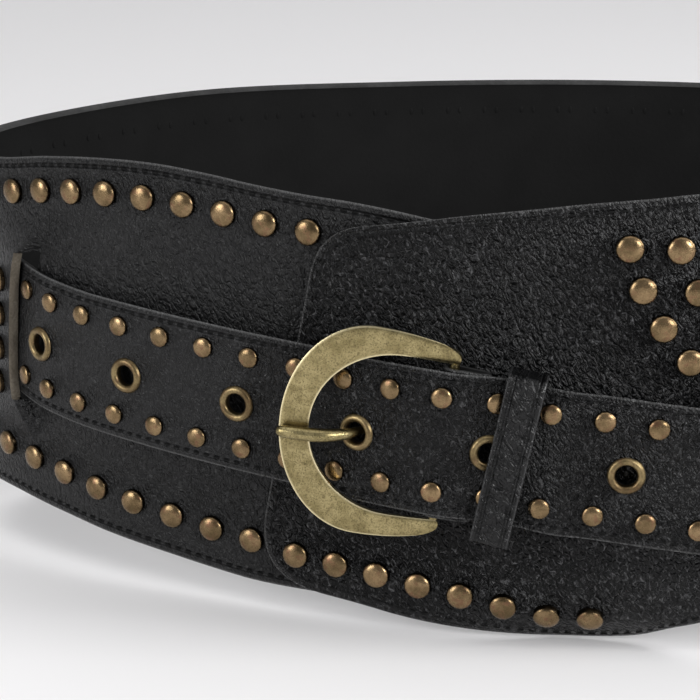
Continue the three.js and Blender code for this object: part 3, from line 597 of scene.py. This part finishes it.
def makeBand():
    along, up, edge, slotColumns, slotRows = bandGrid()
    columns, rows = along.shape[0] - 1, along.shape[1] - 1
    bandPiece, i, j = sheet("bandLeatherWork", columns, rows)
    a, u, e = along[i, j], up[i, j], edge[i, j]
    moveSpots(bandPiece, bandPoint(a, -0.45 * np.exp(-e / 0.8), u))
    layFlat(bandPiece, a, u)
    noteReading(bandPiece, "edge", e / 1000)
    noteReading(bandPiece, "pebble", 1 - 0.75 * ease(300, loopLength - 130, a))
    dress(bandPiece, "band", "inside", "edge", "raw")
    centres = faceValues(bandPiece, "center", 3)
    target = bandPoint(*[0.25 * (g[:-1, :-1] + g[1:, :-1] + g[:-1, 1:] + g[1:, 1:]) for g in (along, along * 0, up)])
    hole = target[slotColumns[0]:slotColumns[1], slotRows[0]:slotRows[1]].reshape(-1, 3)
    gone = np.array([np.min(np.linalg.norm(hole - c, axis=1)) < 0.0006 for c in centres])
    chooseFaces(bandPiece, gone)
    bpy.ops.mesh.delete(type="FACE")
    bpy.ops.object.mode_set(mode="OBJECT")
    modify(bandPiece, "SOLIDIFY", thickness=loopSizes["wall"] / 1000, offset=-1, use_even_offset=True,
           material_offset=1, material_offset_rim=2)
    modify(bandPiece, "BEVEL", width=0.00045, segments=2, limit_method="ANGLE", angle_limit=math.radians(60))
    centres = faceValues(bandPiece, "center", 3)
    indexes = faceValues(bandPiece, "material_index", 1).astype(int)
    slotAt = bandPoint(loopLength + slotSizes["place"] + slotSizes["width"] / 2, 0, slotMiddle)
    atSlot = (indexes == 2) & (np.linalg.norm(centres - slotAt, axis=1) < 0.028)
    indexes[atSlot] = 3
    bandPiece.data.polygons.foreach_set("material_index", indexes)
    smooth(bandPiece, 50)
    print("band leather", len(bandPiece.data.polygons))
    return keep(bandPiece, "band_leather", "wide_band")


def stitchModel(size):
    deselectAll()
    bpy.ops.mesh.primitive_uv_sphere_add(segments=6, ring_count=4, radius=0.001)
    made = bpy.context.object
    made.data.transform(Matrix.Diagonal((size[0], size[1], size[2], 1)))
    dress(made, "thread")
    pick(made)
    bpy.ops.object.shade_smooth()
    return made


def evenly(points, pitch):
    runs = np.concatenate([[0], np.cumsum(np.linalg.norm(np.diff(points, axis=0), axis=1))])
    at = np.arange(pitch / 2, runs[-1], pitch)
    spots = np.stack([np.interp(at, runs, points[:, k]) for k in (0, 1)], axis=1)
    ahead = np.stack([np.interp(at + 0.5, runs, points[:, k]) for k in (0, 1)], axis=1)
    return spots, np.arctan2(ahead[:, 1] - spots[:, 1], ahead[:, 0] - spots[:, 0])


def insetPath(points, inset):
    way = np.gradient(points, axis=0)
    way /= np.linalg.norm(way, axis=1)[:, None]
    return points + inset * np.stack([way[:, 1], -way[:, 0]], axis=1)


def bandStitches():
    along, up = bandGrid()[:2]
    rim = np.concatenate([np.stack([along[::-1, 0], up[::-1, 0]], 1)[:-1], np.stack([along[0], up[0]], 1)[:-1],
                          np.stack([along[:, -1], up[:, -1]], 1)])
    runs = np.concatenate([[0], np.cumsum(np.linalg.norm(np.diff(rim, axis=0), axis=1))])
    even = np.stack([np.interp(np.arange(0, runs[-1], 1.5), runs, rim[:, k]) for k in (0, 1)], axis=1)
    spots, turns = evenly(insetPath(even, bandSizes["stitchInset"]), bandSizes["stitchPitch"])
    places = [standAt(lambda s, u: bandPoint(s, -0.12, u), s[0], s[1], t) for s, t in zip(spots, turns)]
    return keep(spreadCopies(stitchModel((1.15, 0.36, 0.3)), "bandStitches", places), "band_leather")


def domeModel(radius, rise, sides, look):
    deselectAll()
    bpy.ops.mesh.primitive_circle_add(vertices=sides, radius=radius, fill_type="NGON", location=(0, 0, -0.0004))
    made = bpy.context.object
    made.data.transform(made.matrix_world)
    made.matrix_world = Matrix.Identity(4)
    bpy.ops.object.mode_set(mode="EDIT")
    bpy.ops.mesh.select_all(action="SELECT")
    bpy.ops.mesh.extrude_region_move(TRANSFORM_OT_translate={"value": (0, 0, 0.0004 + rise * 0.38)})
    for part, lift in ((0.05, 0.16), (0.11, 0.16), (0.2, 0.14), (0.3, 0.1)):
        bpy.ops.mesh.inset(thickness=radius * part, depth=rise * lift)
    bpy.ops.object.mode_set(mode="OBJECT")
    # rim is the share of the radius, read by the brass to paint a contact shadow at the dome's edge
    noteReading(made, "rim", np.hypot(*spotsOf(made)[:, :2].T) / radius)
    dress(made, look)
    smooth(made, 75)
    return made


def studPlaces():
    s = bandSizes
    places = []
    swagEnd = 2 * s["swagPlace"] + 8
    for run in np.arange(0, loopLength - 90 - swagEnd, s["leftPitch"]):
        held = min(run, s["driftRun"]) ** 2
        top = loopLength + s["topStart"] - run + s["topSqueeze"] * held
        foot = loopLength + s["footStart"] - run
        places.append((top, float(upperEdge(top)) - s["upperInset"]))
        if foot > swagEnd:
            places.append((foot, float(lowerEdge(foot)) + s["leftFootInset"] + s["leftDrift"] * held))
    for k in range(8):
        a = s["endStart"] + s["rightPitch"] * k
        places.append((a, float(lowerEdge(a)) + s["rightFootInset"] + s["footDrift"] * s["rightPitch"] * k))
    swagTop = loopSizes["height"] + s["swagAbove"]
    for radius in (s["swagRadius"], s["swagRadius"] - s["swagStep"]):
        first = math.asin((swagTop - loopSizes["height"] * s["swagTopShare"]) / radius)
        count = round((math.pi - 2 * first) * radius / s["swagPitch"])
        for k in range(count + 1):
            angle = first + (math.pi - 2 * first) * k / count
            a, u = s["swagPlace"] - radius * math.cos(angle), swagTop - radius * math.sin(angle)
            if u > float(strapHeight(a)) + strapSizes["width"] / 2 + s["stud"] + 1:
                places.append((a, u))
    for k in range(4):
        above = s["sideTop"] - s["sidePitch"] * k
        places.append((loopLength + slotSizes["place"] - s["sideInset"] + slotSizes["lean"] * above,
                       float(strapHeight(slotSizes["place"])) + above))
    return places


def bandStuds():
    model = domeModel(bandSizes["stud"] / 1000, bandSizes["studRise"] / 1000, 16, "stud")
    places = [standAt(lambda a, u: bandPoint(a, 0, u), a, u, 2.4 * k) for k, (a, u) in enumerate(studPlaces())]
    return keep(spreadCopies(model, "bandStuds", places), "brass")


def prongMarks():
    deselectAll()
    bpy.ops.mesh.primitive_uv_sphere_add(segments=8, ring_count=4, radius=0.001)
    model = bpy.context.object
    model.data.transform(Matrix.Diagonal((0.55, 1.1, 0.28, 1)))
    dress(model, "inside")
    places = []
    for a, u in studPlaces():
        for side in (-1.9, 1.9):
            places.append(standAt(lambda s, h: bandPoint(s, -loopSizes["wall"], h), a + side, u))
    return keep(spreadCopies(model, "prongMarks", places), "band_leather")


bandPiece = makeBand()
bandStitches()
bandStuds()
prongMarks()
print("band dressed")

smallSizes = {"radius": 2.7, "rise": 1.5, "pitch": 13, "start": -5, "offset": 12.1, "eyeletPitch": 33.4,
              "eyeletDrop": 0.7, "eyelet": 4.7, "bore": 2.65, "stitchInset": 2.1, "stitchPitch": 2.9}


def strapGrid():
    half, tip, back = strapSizes["width"] / 2, strapSizes["tip"], strapSizes["tipRound"]
    t = np.linspace(0, 1, 200)
    outX = -2 * back * (1 - t) ** 3 - 0.6 * back * 3 * t * (1 - t) ** 2
    outY = half * ((1 - t) ** 3 + 3 * t * (1 - t) ** 2 + 0.6 * 3 * t * t * (1 - t))
    side = np.array([0, .2, .38, .54, .67, .77, .845, .9, .94, .97, .99, 1])
    rows = np.concatenate([-side[::-1][:-1], side]) * half
    inset = np.interp(np.abs(rows), outY[::-1], -outX[::-1])
    bases = np.concatenate([np.arange(strapSizes["inner"], tip - 1.2, 2.0), [tip]])
    fade = np.clip(1 - (tip - bases) / 75, 0, 1)[:, None]
    along = bases[:, None] - inset[None, :] * fade
    across = np.broadcast_to(rows[None, :], along.shape)
    tipGap = (tip - inset[None, :] - along)
    edge = np.minimum(half - np.abs(across), np.minimum(np.maximum(tipGap, 0), along - strapSizes["inner"]))
    return along, across, np.maximum(edge, 0)


def makeStrap():
    along, across, edge = strapGrid()
    strapPiece, i, j = sheet("strapLeatherWork", along.shape[0] - 1, along.shape[1] - 1)
    a, c, e = along[i, j], across[i, j], edge[i, j]
    moveSpots(strapPiece, strapPoint(a, strapSizes["wall"] - 0.4 * np.exp(-e / 0.8), c))
    layFlat(strapPiece, a, c)
    noteReading(strapPiece, "edge", e / 1000)
    noteReading(strapPiece, "pebble", 0.25 + 0.75 * ease(-115, -60, a))
    dress(strapPiece, "strap", "inside", "edge")
    modify(strapPiece, "SOLIDIFY", thickness=strapSizes["wall"] / 1000, offset=-1, use_even_offset=True,
           material_offset=1, material_offset_rim=2)
    modify(strapPiece, "BEVEL", width=0.0004, segments=2, limit_method="ANGLE", angle_limit=math.radians(60))
    deselectAll()
    bpy.ops.mesh.primitive_cylinder_add(vertices=28, radius=(smallSizes["bore"] + 0.4) / 1000, depth=0.012)
    punch = spreadCopies(bpy.context.object, "punch", eyeletPlaces(0))
    dress(punch, "edge")
    modify(strapPiece, "BOOLEAN", operation="DIFFERENCE", object=punch, solver="EXACT", material_mode="TRANSFER")
    bpy.data.objects.remove(punch)
    smooth(strapPiece, 50)
    print("strap leather", len(strapPiece.data.polygons))
    return keep(strapPiece, "strap_leather", "strap")


def strapFace(lift):
    return lambda a, c: strapPoint(a, strapSizes["wall"] + lift, c)


def eyeletPlaces(lift):
    places = [float(strapAlong((k - 3) * smallSizes["eyeletPitch"])) for k in range(8)]
    return [standAt(strapFace(lift), place, -smallSizes["eyeletDrop"]) for place in places]


def strapStuds():
    model = domeModel(smallSizes["radius"] / 1000, smallSizes["rise"] / 1000, 14, "stud")
    places = []
    for k in range(-8, 12):
        a = float(strapAlong(smallSizes["start"] + smallSizes["pitch"] * k))
        if a <= strapSizes["tip"] - strapSizes["tipRound"] - 6:
            places += [standAt(strapFace(0), a, side * smallSizes["offset"], k * 1.7) for side in (-1, 1)]
    return keep(spreadCopies(model, "strapStuds", places), "brass")


def strapStitches():
    along, across = strapGrid()[:2]
    rim = np.concatenate([np.stack([along[:, 0], across[:, 0]], 1)[:-1], np.stack([along[-1], across[-1]], 1)[:-1],
                          np.stack([along[::-1, -1], across[::-1, -1]], 1)])
    runs = np.concatenate([[0], np.cumsum(np.linalg.norm(np.diff(rim, axis=0), axis=1))])
    even = np.stack([np.interp(np.arange(0, runs[-1], 1.5), runs, rim[:, k]) for k in (0, 1)], axis=1)
    spots, turns = evenly(insetPath(even, -smallSizes["stitchInset"]), smallSizes["stitchPitch"])
    places = [standAt(strapFace(-0.1), s[0], s[1], t) for s, t in zip(spots, turns)]
    return keep(spreadCopies(stitchModel((1.1, 0.32, 0.28)), "strapStitches", places), "strap_leather")


def makeEyelets():
    deselectAll()
    middle = (smallSizes["eyelet"] + smallSizes["bore"]) / 2000
    bpy.ops.mesh.primitive_torus_add(major_segments=28, minor_segments=10, major_radius=middle,
                                     minor_radius=(smallSizes["eyelet"] - smallSizes["bore"]) / 2000)
    ring = bpy.context.object
    spots = spotsOf(ring)
    r = np.hypot(spots[:, 0], spots[:, 1])
    spots[:, 2] *= np.where(spots[:, 2] > 0, 0.95, 0.3)
    inner = (r < middle) & (spots[:, 2] <= 0)
    spots[inner, 2] -= 0.0016 * ((middle - r[inner]) / (middle - smallSizes["bore"] / 1000))
    moveSpots(ring, spots)
    dress(ring, "eyelet")
    smooth(ring, 60)
    names = [f"eyelet_{k}" for k in range(1, 9)]
    return keep(spreadCopies(ring, "eyeletRings", eyeletPlaces(0.15)), "brass", *names)


makeStrap()
strapStuds()
strapStitches()
makeEyelets()
print("strap dressed")


def buckleMatrix():
    b = buckleSizes
    run = b["length"] - b["side"] / 2
    bar = Vector(bend(b["bar"], barOut, b["barHeight"]))
    side = Vector(bend(b["bar"] - run * math.cos(b["lean"]), barOut + run * b["rise"],
                       b["barHeight"] + run * math.sin(b["lean"])))
    upper = Vector(bend(b["bar"] + 10 * math.sin(b["lean"]), barOut, b["barHeight"] + 10 * math.cos(b["lean"])))
    xWay = (bar - side).normalized()
    zWay = xWay.cross(upper - bar).normalized()
    return Matrix.Translation(bar) @ Matrix((xWay, zWay.cross(xWay), zWay)).transposed().to_4x4()


def bowPath(middle, end, half, tipPoints, count):
    quarter = np.linspace(math.pi / 2, math.pi * 1.5, count)
    arc = np.stack([middle + (end + middle) * np.cos(quarter), half * np.sin(quarter)], axis=1)
    top = np.array(tipPoints)
    return np.concatenate([top, arc, (top * (1, -1))[::-1]])


def resampled(points, count):
    runs = np.concatenate([[0], np.cumsum(np.linalg.norm(np.diff(points, axis=0), axis=1))])
    at = np.linspace(0, runs[-1], count)
    return np.stack([np.interp(at, runs, points[:, k]) for k in (0, 1)], axis=1)


def quad(p, q, r, count=10):
    t = np.linspace(0, 1, count)[:-1, None]
    return (1 - t) ** 2 * np.array(p) + 2 * t * (1 - t) * np.array(q) + t * t * np.array(r)


def makeFrame():
    b = buckleSizes
    half, innerHalf = b["half"], b["half"] - b["arm"]
    outMiddle, inMiddle = -b["length"] * 0.48, -b["length"] * 0.29
    outer = bowPath(outMiddle, b["length"], half,
                    quad((-3, half * 0.93), (outMiddle * 0.55, half), (outMiddle, half)), 60)
    inner = bowPath(inMiddle, b["length"] - b["side"], innerHalf,
                    quad((0.8, innerHalf - 0.4), (inMiddle / 2, innerHalf), (inMiddle, innerHalf)), 60)
    columns, rows = 96, 8
    outer, inner = resampled(outer, columns + 1), resampled(inner, columns + 1)
    share = np.linspace(0, 1, rows + 1)
    flat = inner[:, None] * (1 - share[None, :, None]) + outer[:, None] * share[None, :, None]
    bulge = 3 * share * (1 - share) * b["tipBulge"]
    column = np.arange(columns + 1)
    weight = np.maximum(ease(14, 0, column), ease(columns - 14, columns, column))
    flat[:, :, 0] += weight[:, None] * bulge[None, :]
    framePiece, i, j = sheet("buckleFrameWork", columns, rows)
    xy = flat[i, j]
    fromMiddle = 2 * xy[:, 0] / b["length"] + 1
    arch = b["arch"] * np.maximum(1 - fromMiddle ** 2, 0)
    edgeShare = np.minimum(share[j], 1 - share[j])
    crown = b["wall"] / 2 + arch - 0.25 * (1 - ease(0, 0.2, edgeShare))
    moveSpots(framePiece, np.stack([xy[:, 0], xy[:, 1], crown], axis=1) / 1000)
    pick(framePiece)
    bpy.ops.object.mode_set(mode="EDIT")
    bpy.ops.mesh.select_all(action="SELECT")
    bpy.ops.mesh.normals_make_consistent(inside=False)
    bpy.ops.object.mode_set(mode="OBJECT")
    if framePiece.data.polygons[0].normal.z < 0:
        framePiece.data.flip_normals()
    # marks the inner and outer edge lines of the frame for a painted highlight
    noteReading(framePiece, "edgeHighlightMask", np.where(edgeShare < 0.01, 1, 0))
    modify(framePiece, "SOLIDIFY", thickness=b["wall"] / 1000 - 0.0003, offset=-1)
    modify(framePiece, "BEVEL", width=0.0005, segments=3, limit_method="ANGLE", angle_limit=math.radians(50))
    dress(framePiece, "buckle")
    deselectAll()
    bpy.ops.mesh.primitive_cylinder_add(vertices=20, radius=b["barRadius"] / 1000, depth=(2 * innerHalf - 0.6) / 1000,
                                        rotation=(math.pi / 2, 0, 0))
    bar = bpy.context.object
    dress(bar, "buckle")
    bpy.ops.object.transform_apply(location=True, rotation=True, scale=True)
    framePiece.select_set(True)
    bpy.context.view_layer.objects.active = framePiece
    bpy.ops.object.join()
    framePiece.data.transform(buckleMatrix())
    smooth(framePiece, 35)
    return keep(framePiece, "brass", "buckle_frame")


tongueSizes = {"radius": 1.45, "thin": 1.0, "reach": 38.5, "drop": -0.8, "eyeWall": 0.9, "eyeHalf": 1.5}


def makeTongue():
    b, g = buckleSizes, tongueSizes
    hole, bar = strapSizes["hole"], b["bar"]
    pivot = float(strapHeight(bar)) + 1
    topOut = barOut + (b["length"] - b["side"] / 2) * b["rise"] + b["wall"] / 2 + b["arch"] / 2 + gap + g["radius"]
    end, under = bar - g["reach"], gap + g["thin"] + 0.1
    inHole = float(strapLift(hole)) + strapSizes["wall"] / 2
    holeUp = float(strapHeight(hole)) - smallSizes["eyeletDrop"]
    path = [(bar - 1.8, barOut - 0.5, g["thin"]), (bar - 6, under, g["thin"]), (hole + 3.4, under, g["thin"]),
            (hole + 1.5, under + 0.7, g["thin"]), (hole + 0.2, inHole, g["thin"]),
            (hole - 0.9, inHole + 2.4, g["thin"] * 1.3),
            (hole - 2.6, inHole + 4.4, g["radius"]), (hole - 6.5, topOut - 1.3, g["radius"] * 1.18),
            (bar - b["length"] + b["side"], topOut - 0.2, g["radius"] * 1.14),
            (end + 2, topOut + 0.1, g["radius"] * 1.08),
            (end + 0.5, topOut + 0.1, g["radius"]), (end, topOut + 0.1, g["radius"] * 0.7)]
    curve = bpy.data.curves.new("tonguePath", "CURVE")
    curve.dimensions, curve.bevel_depth, curve.bevel_resolution, curve.resolution_u = "3D", 0.001, 5, 6
    curve.use_fill_caps = True
    spline = curve.splines.new("NURBS")
    spline.points.add(len(path) - 1)
    spline.order_u, spline.use_endpoint_u = 3, True
    for point, (along, out, radius) in zip(spline.points, path):
        if along < hole:
            up = holeUp + (along - hole) / (end - hole) * -g["drop"]
        else:
            up = holeUp + (along - hole) / (bar - hole) * (pivot - holeUp)
        point.co = (*bend(along, out, up), 1)
        point.radius = radius
    rod = bpy.data.objects.new("buckleTongueWork", curve)
    bpy.context.scene.collection.objects.link(rod)
    pick(rod)
    bpy.ops.object.convert(target="MESH")
    rod = bpy.context.object
    dress(rod, "buckle")
    deselectAll()
    inner = b["barRadius"] + gap
    bpy.ops.mesh.primitive_torus_add(major_segments=24, minor_segments=8,
                                     major_radius=(inner + g["eyeWall"] / 2) / 1000,
                                     minor_radius=g["eyeWall"] / 2000, rotation=(math.pi / 2, 0, 0))
    eye = bpy.context.object
    bpy.ops.object.transform_apply(location=True, rotation=True, scale=True)
    spots = spotsOf(eye)
    spots[:, 1] *= g["eyeHalf"] / (g["eyeWall"] / 2)
    spots[:, 1] += (pivot - b["barHeight"]) / math.cos(b["lean"]) / 1000
    moveSpots(eye, spots)
    eye.data.transform(buckleMatrix())
    dress(eye, "buckle")
    rod.select_set(True)
    bpy.context.view_layer.objects.active = rod
    bpy.ops.object.join()
    smooth(rod, 50)
    return keep(rod, "brass", "buckle_tongue")


def makeTab():
    b, wall, reach = buckleSizes, tabSizes["wall"], tabSizes["reach"]
    bore = b["barRadius"] + gap
    floor, lift = -barOut + gap, reach * b["rise"]
    turn = np.linspace(-math.pi / 2, -math.pi * 1.5, 15)
    outerR = bore + wall
    path = np.concatenate([[(reach, floor + lift), (reach * 0.66, floor + lift * 0.66),
                            (reach * 0.33, floor + lift * 0.33)],
                           np.stack([outerR * np.cos(turn), outerR * np.sin(turn)], axis=1),
                           [(reach * 0.3, outerR - 0.35), (reach * 0.66, floor + lift + 2 * wall + gap + 0.9),
                            (reach, floor + lift + 2 * wall + gap)]])
    columns, rows = 40, 24
    path = resampled(path, columns + 1)
    tall = 2 * (b["half"] - b["arm"]) - 2.6
    tabPiece, i, j = sheet("tabLeatherWork", columns, rows)
    y = (j / rows - 0.5) * tall
    moveSpots(tabPiece, np.stack([path[i, 0], y, path[i, 1]], axis=1) / 1000)
    run = i / columns * 30
    layFlat(tabPiece, run, y)
    noteReading(tabPiece, "edge", np.minimum(tall / 2 - np.abs(y), np.minimum(run, 30 - run)) / 1000)
    noteReading(tabPiece, "pebble", np.full(len(i), 0.8))
    pivot = (float(strapHeight(b["bar"])) + 1 - b["barHeight"]) / math.cos(b["lean"])
    centres = faceValues(tabPiece, "center", 3) * 1000
    chooseFaces(tabPiece, (centres[:, 0] < 2.6) & (np.abs(centres[:, 1] - pivot) < 2.6))
    bpy.ops.mesh.delete(type="FACE")
    bpy.ops.object.mode_set(mode="OBJECT")
    dress(tabPiece, "strap", "inside", "edge")
    modify(tabPiece, "SOLIDIFY", thickness=wall / 1000, offset=-1, material_offset=1, material_offset_rim=2)
    modify(tabPiece, "BEVEL", width=0.00022, segments=2, limit_method="ANGLE", angle_limit=math.radians(60))
    tabPiece.data.transform(buckleMatrix())
    smooth(tabPiece, 45)
    return keep(tabPiece, "strap_leather", "buckle_tab")


def makeKeeper():
    k = keeperSizes
    deep = float(strapLift(k["place"] - k["width"] / 2)) + strapSizes["wall"] + 1.5 + k["wall"] + 1
    w, h, r = k["tall"] / 2, deep / 2, 1.8
    corners = [(-w + r, h - r, math.pi), (w - r, h - r, math.pi / 2),
               (w - r, -h + r, 0), (-w + r, -h + r, -math.pi / 2)]
    loop = []
    for x, y, start in corners:
        for t in np.linspace(0, 1, 6):
            angle = start - t * math.pi / 2
            loop.append((x + r * math.cos(angle), y + r * math.sin(angle)))
    loop = np.array(loop + loop[:1])
    columns, rows = 120, 10
    loop = resampled(loop, columns + 1)
    keeperPiece, i, j = sheet("keeperLeatherWork", columns, rows)
    run = (j / rows - 0.5) * k["width"]
    front = ease(0, h, loop[i, 1])
    ripple = 0.18 * np.sin(loop[i, 0] * 1.3 + 0.8 * run) * front * (1 - (2 * run / k["width"]) ** 4)
    puff = front * (0.35 * (1 - (2 * run / k["width"]) ** 2) + ripple) * ease(w, w - 6, np.abs(loop[i, 0]))
    across, out = loop[i, 0], loop[i, 1] + puff - 0.35 * front
    lean = k["lean"]
    moveSpots(keeperPiece, bend(k["place"] + run * math.cos(lean) + across * math.sin(lean), gap + deep / 2 + out,
                                k["height"] - run * math.sin(lean) + across * math.cos(lean)))
    layFlat(keeperPiece, across, run)
    noteReading(keeperPiece, "edge", (k["width"] / 2 - np.abs(run)) / 1000)
    noteReading(keeperPiece, "pebble", np.full(len(i), 1.0))
    pick(keeperPiece)
    bpy.ops.object.mode_set(mode="EDIT")
    bpy.ops.mesh.select_all(action="SELECT")
    bpy.ops.mesh.remove_doubles(threshold=0.00005)
    bpy.ops.mesh.normals_make_consistent(inside=False)
    bpy.ops.object.mode_set(mode="OBJECT")
    dress(keeperPiece, "keeper", "inside", "edge")
    modify(keeperPiece, "SOLIDIFY", thickness=k["wall"] / 1000, offset=-1, material_offset=1, material_offset_rim=2)
    modify(keeperPiece, "BEVEL", width=0.00025, segments=2, limit_method="ANGLE", angle_limit=math.radians(60))
    smooth(keeperPiece, 45)
    return keep(keeperPiece, "strap_leather", "keeper")


makeFrame()
makeTongue()
makeTab()
makeKeeper()
print("buckle dressed")

stageSizes = {"floor": 6.0, "paper": (0.86, 0.85, 0.855, 1)}


def makeFloor():
    deselectAll()
    bpy.ops.mesh.primitive_plane_add(size=stageSizes["floor"], location=(0, 1.0, -0.0002))
    floor = bpy.context.object
    floor.name = "paperFloor"
    kit = Kit("paper")
    kit.set(Base_Color=stageSizes["paper"], Roughness=0.9)
    floor.data.materials.append(kit.material)
    bpy.ops.mesh.primitive_plane_add(size=stageSizes["floor"], location=(0, 2.6, 2.0), rotation=(math.pi / 2, 0, 0))
    wall = bpy.context.object
    wall.name = "paperBackdrop"
    wall.data.materials.append(kit.material)


def addLight(name, place, target, size, power, colour=(1, 1, 1)):
    data = bpy.data.lights.new(name, "AREA")
    data.shape, data.size, data.size_y = "RECTANGLE", size[0], size[1]
    data.energy, data.color = power, colour
    light = bpy.data.objects.new(name, data)
    bpy.context.scene.collection.objects.link(light)
    light.location = place
    light.rotation_euler = (Vector(target) - Vector(place)).to_track_quat("-Z", "Y").to_euler()


def makeLights():
    world = bpy.data.worlds.new("studio")
    world.use_nodes = True
    world.node_tree.nodes["Background"].inputs["Color"].default_value = (0.97, 0.98, 1, 1)
    world.node_tree.nodes["Background"].inputs["Strength"].default_value = 0.33
    bpy.context.scene.world = world
    bpy.context.scene.view_settings.view_transform = "Standard"
    addLight("overheadBox", (0.2, 0.45, 1.9), (0.2, 0.45, 0), (3.0, 3.2), 24)
    addLight("keyBox", (0.8, -0.85, 0.5), (0.05, -0.05, 0.06), (0.4, 0.4), 8)
    addLight("rightBox", (1.1, -0.15, 0.6), (0.05, -0.05, 0.06), (0.35, 0.8), 7)
    addLight("leftBox", (-1.1, -0.85, 0.5), (-0.1, -0.05, 0.06), (0.5, 0.7), 9)


makeFloor()
makeLights()
print("stage ready")
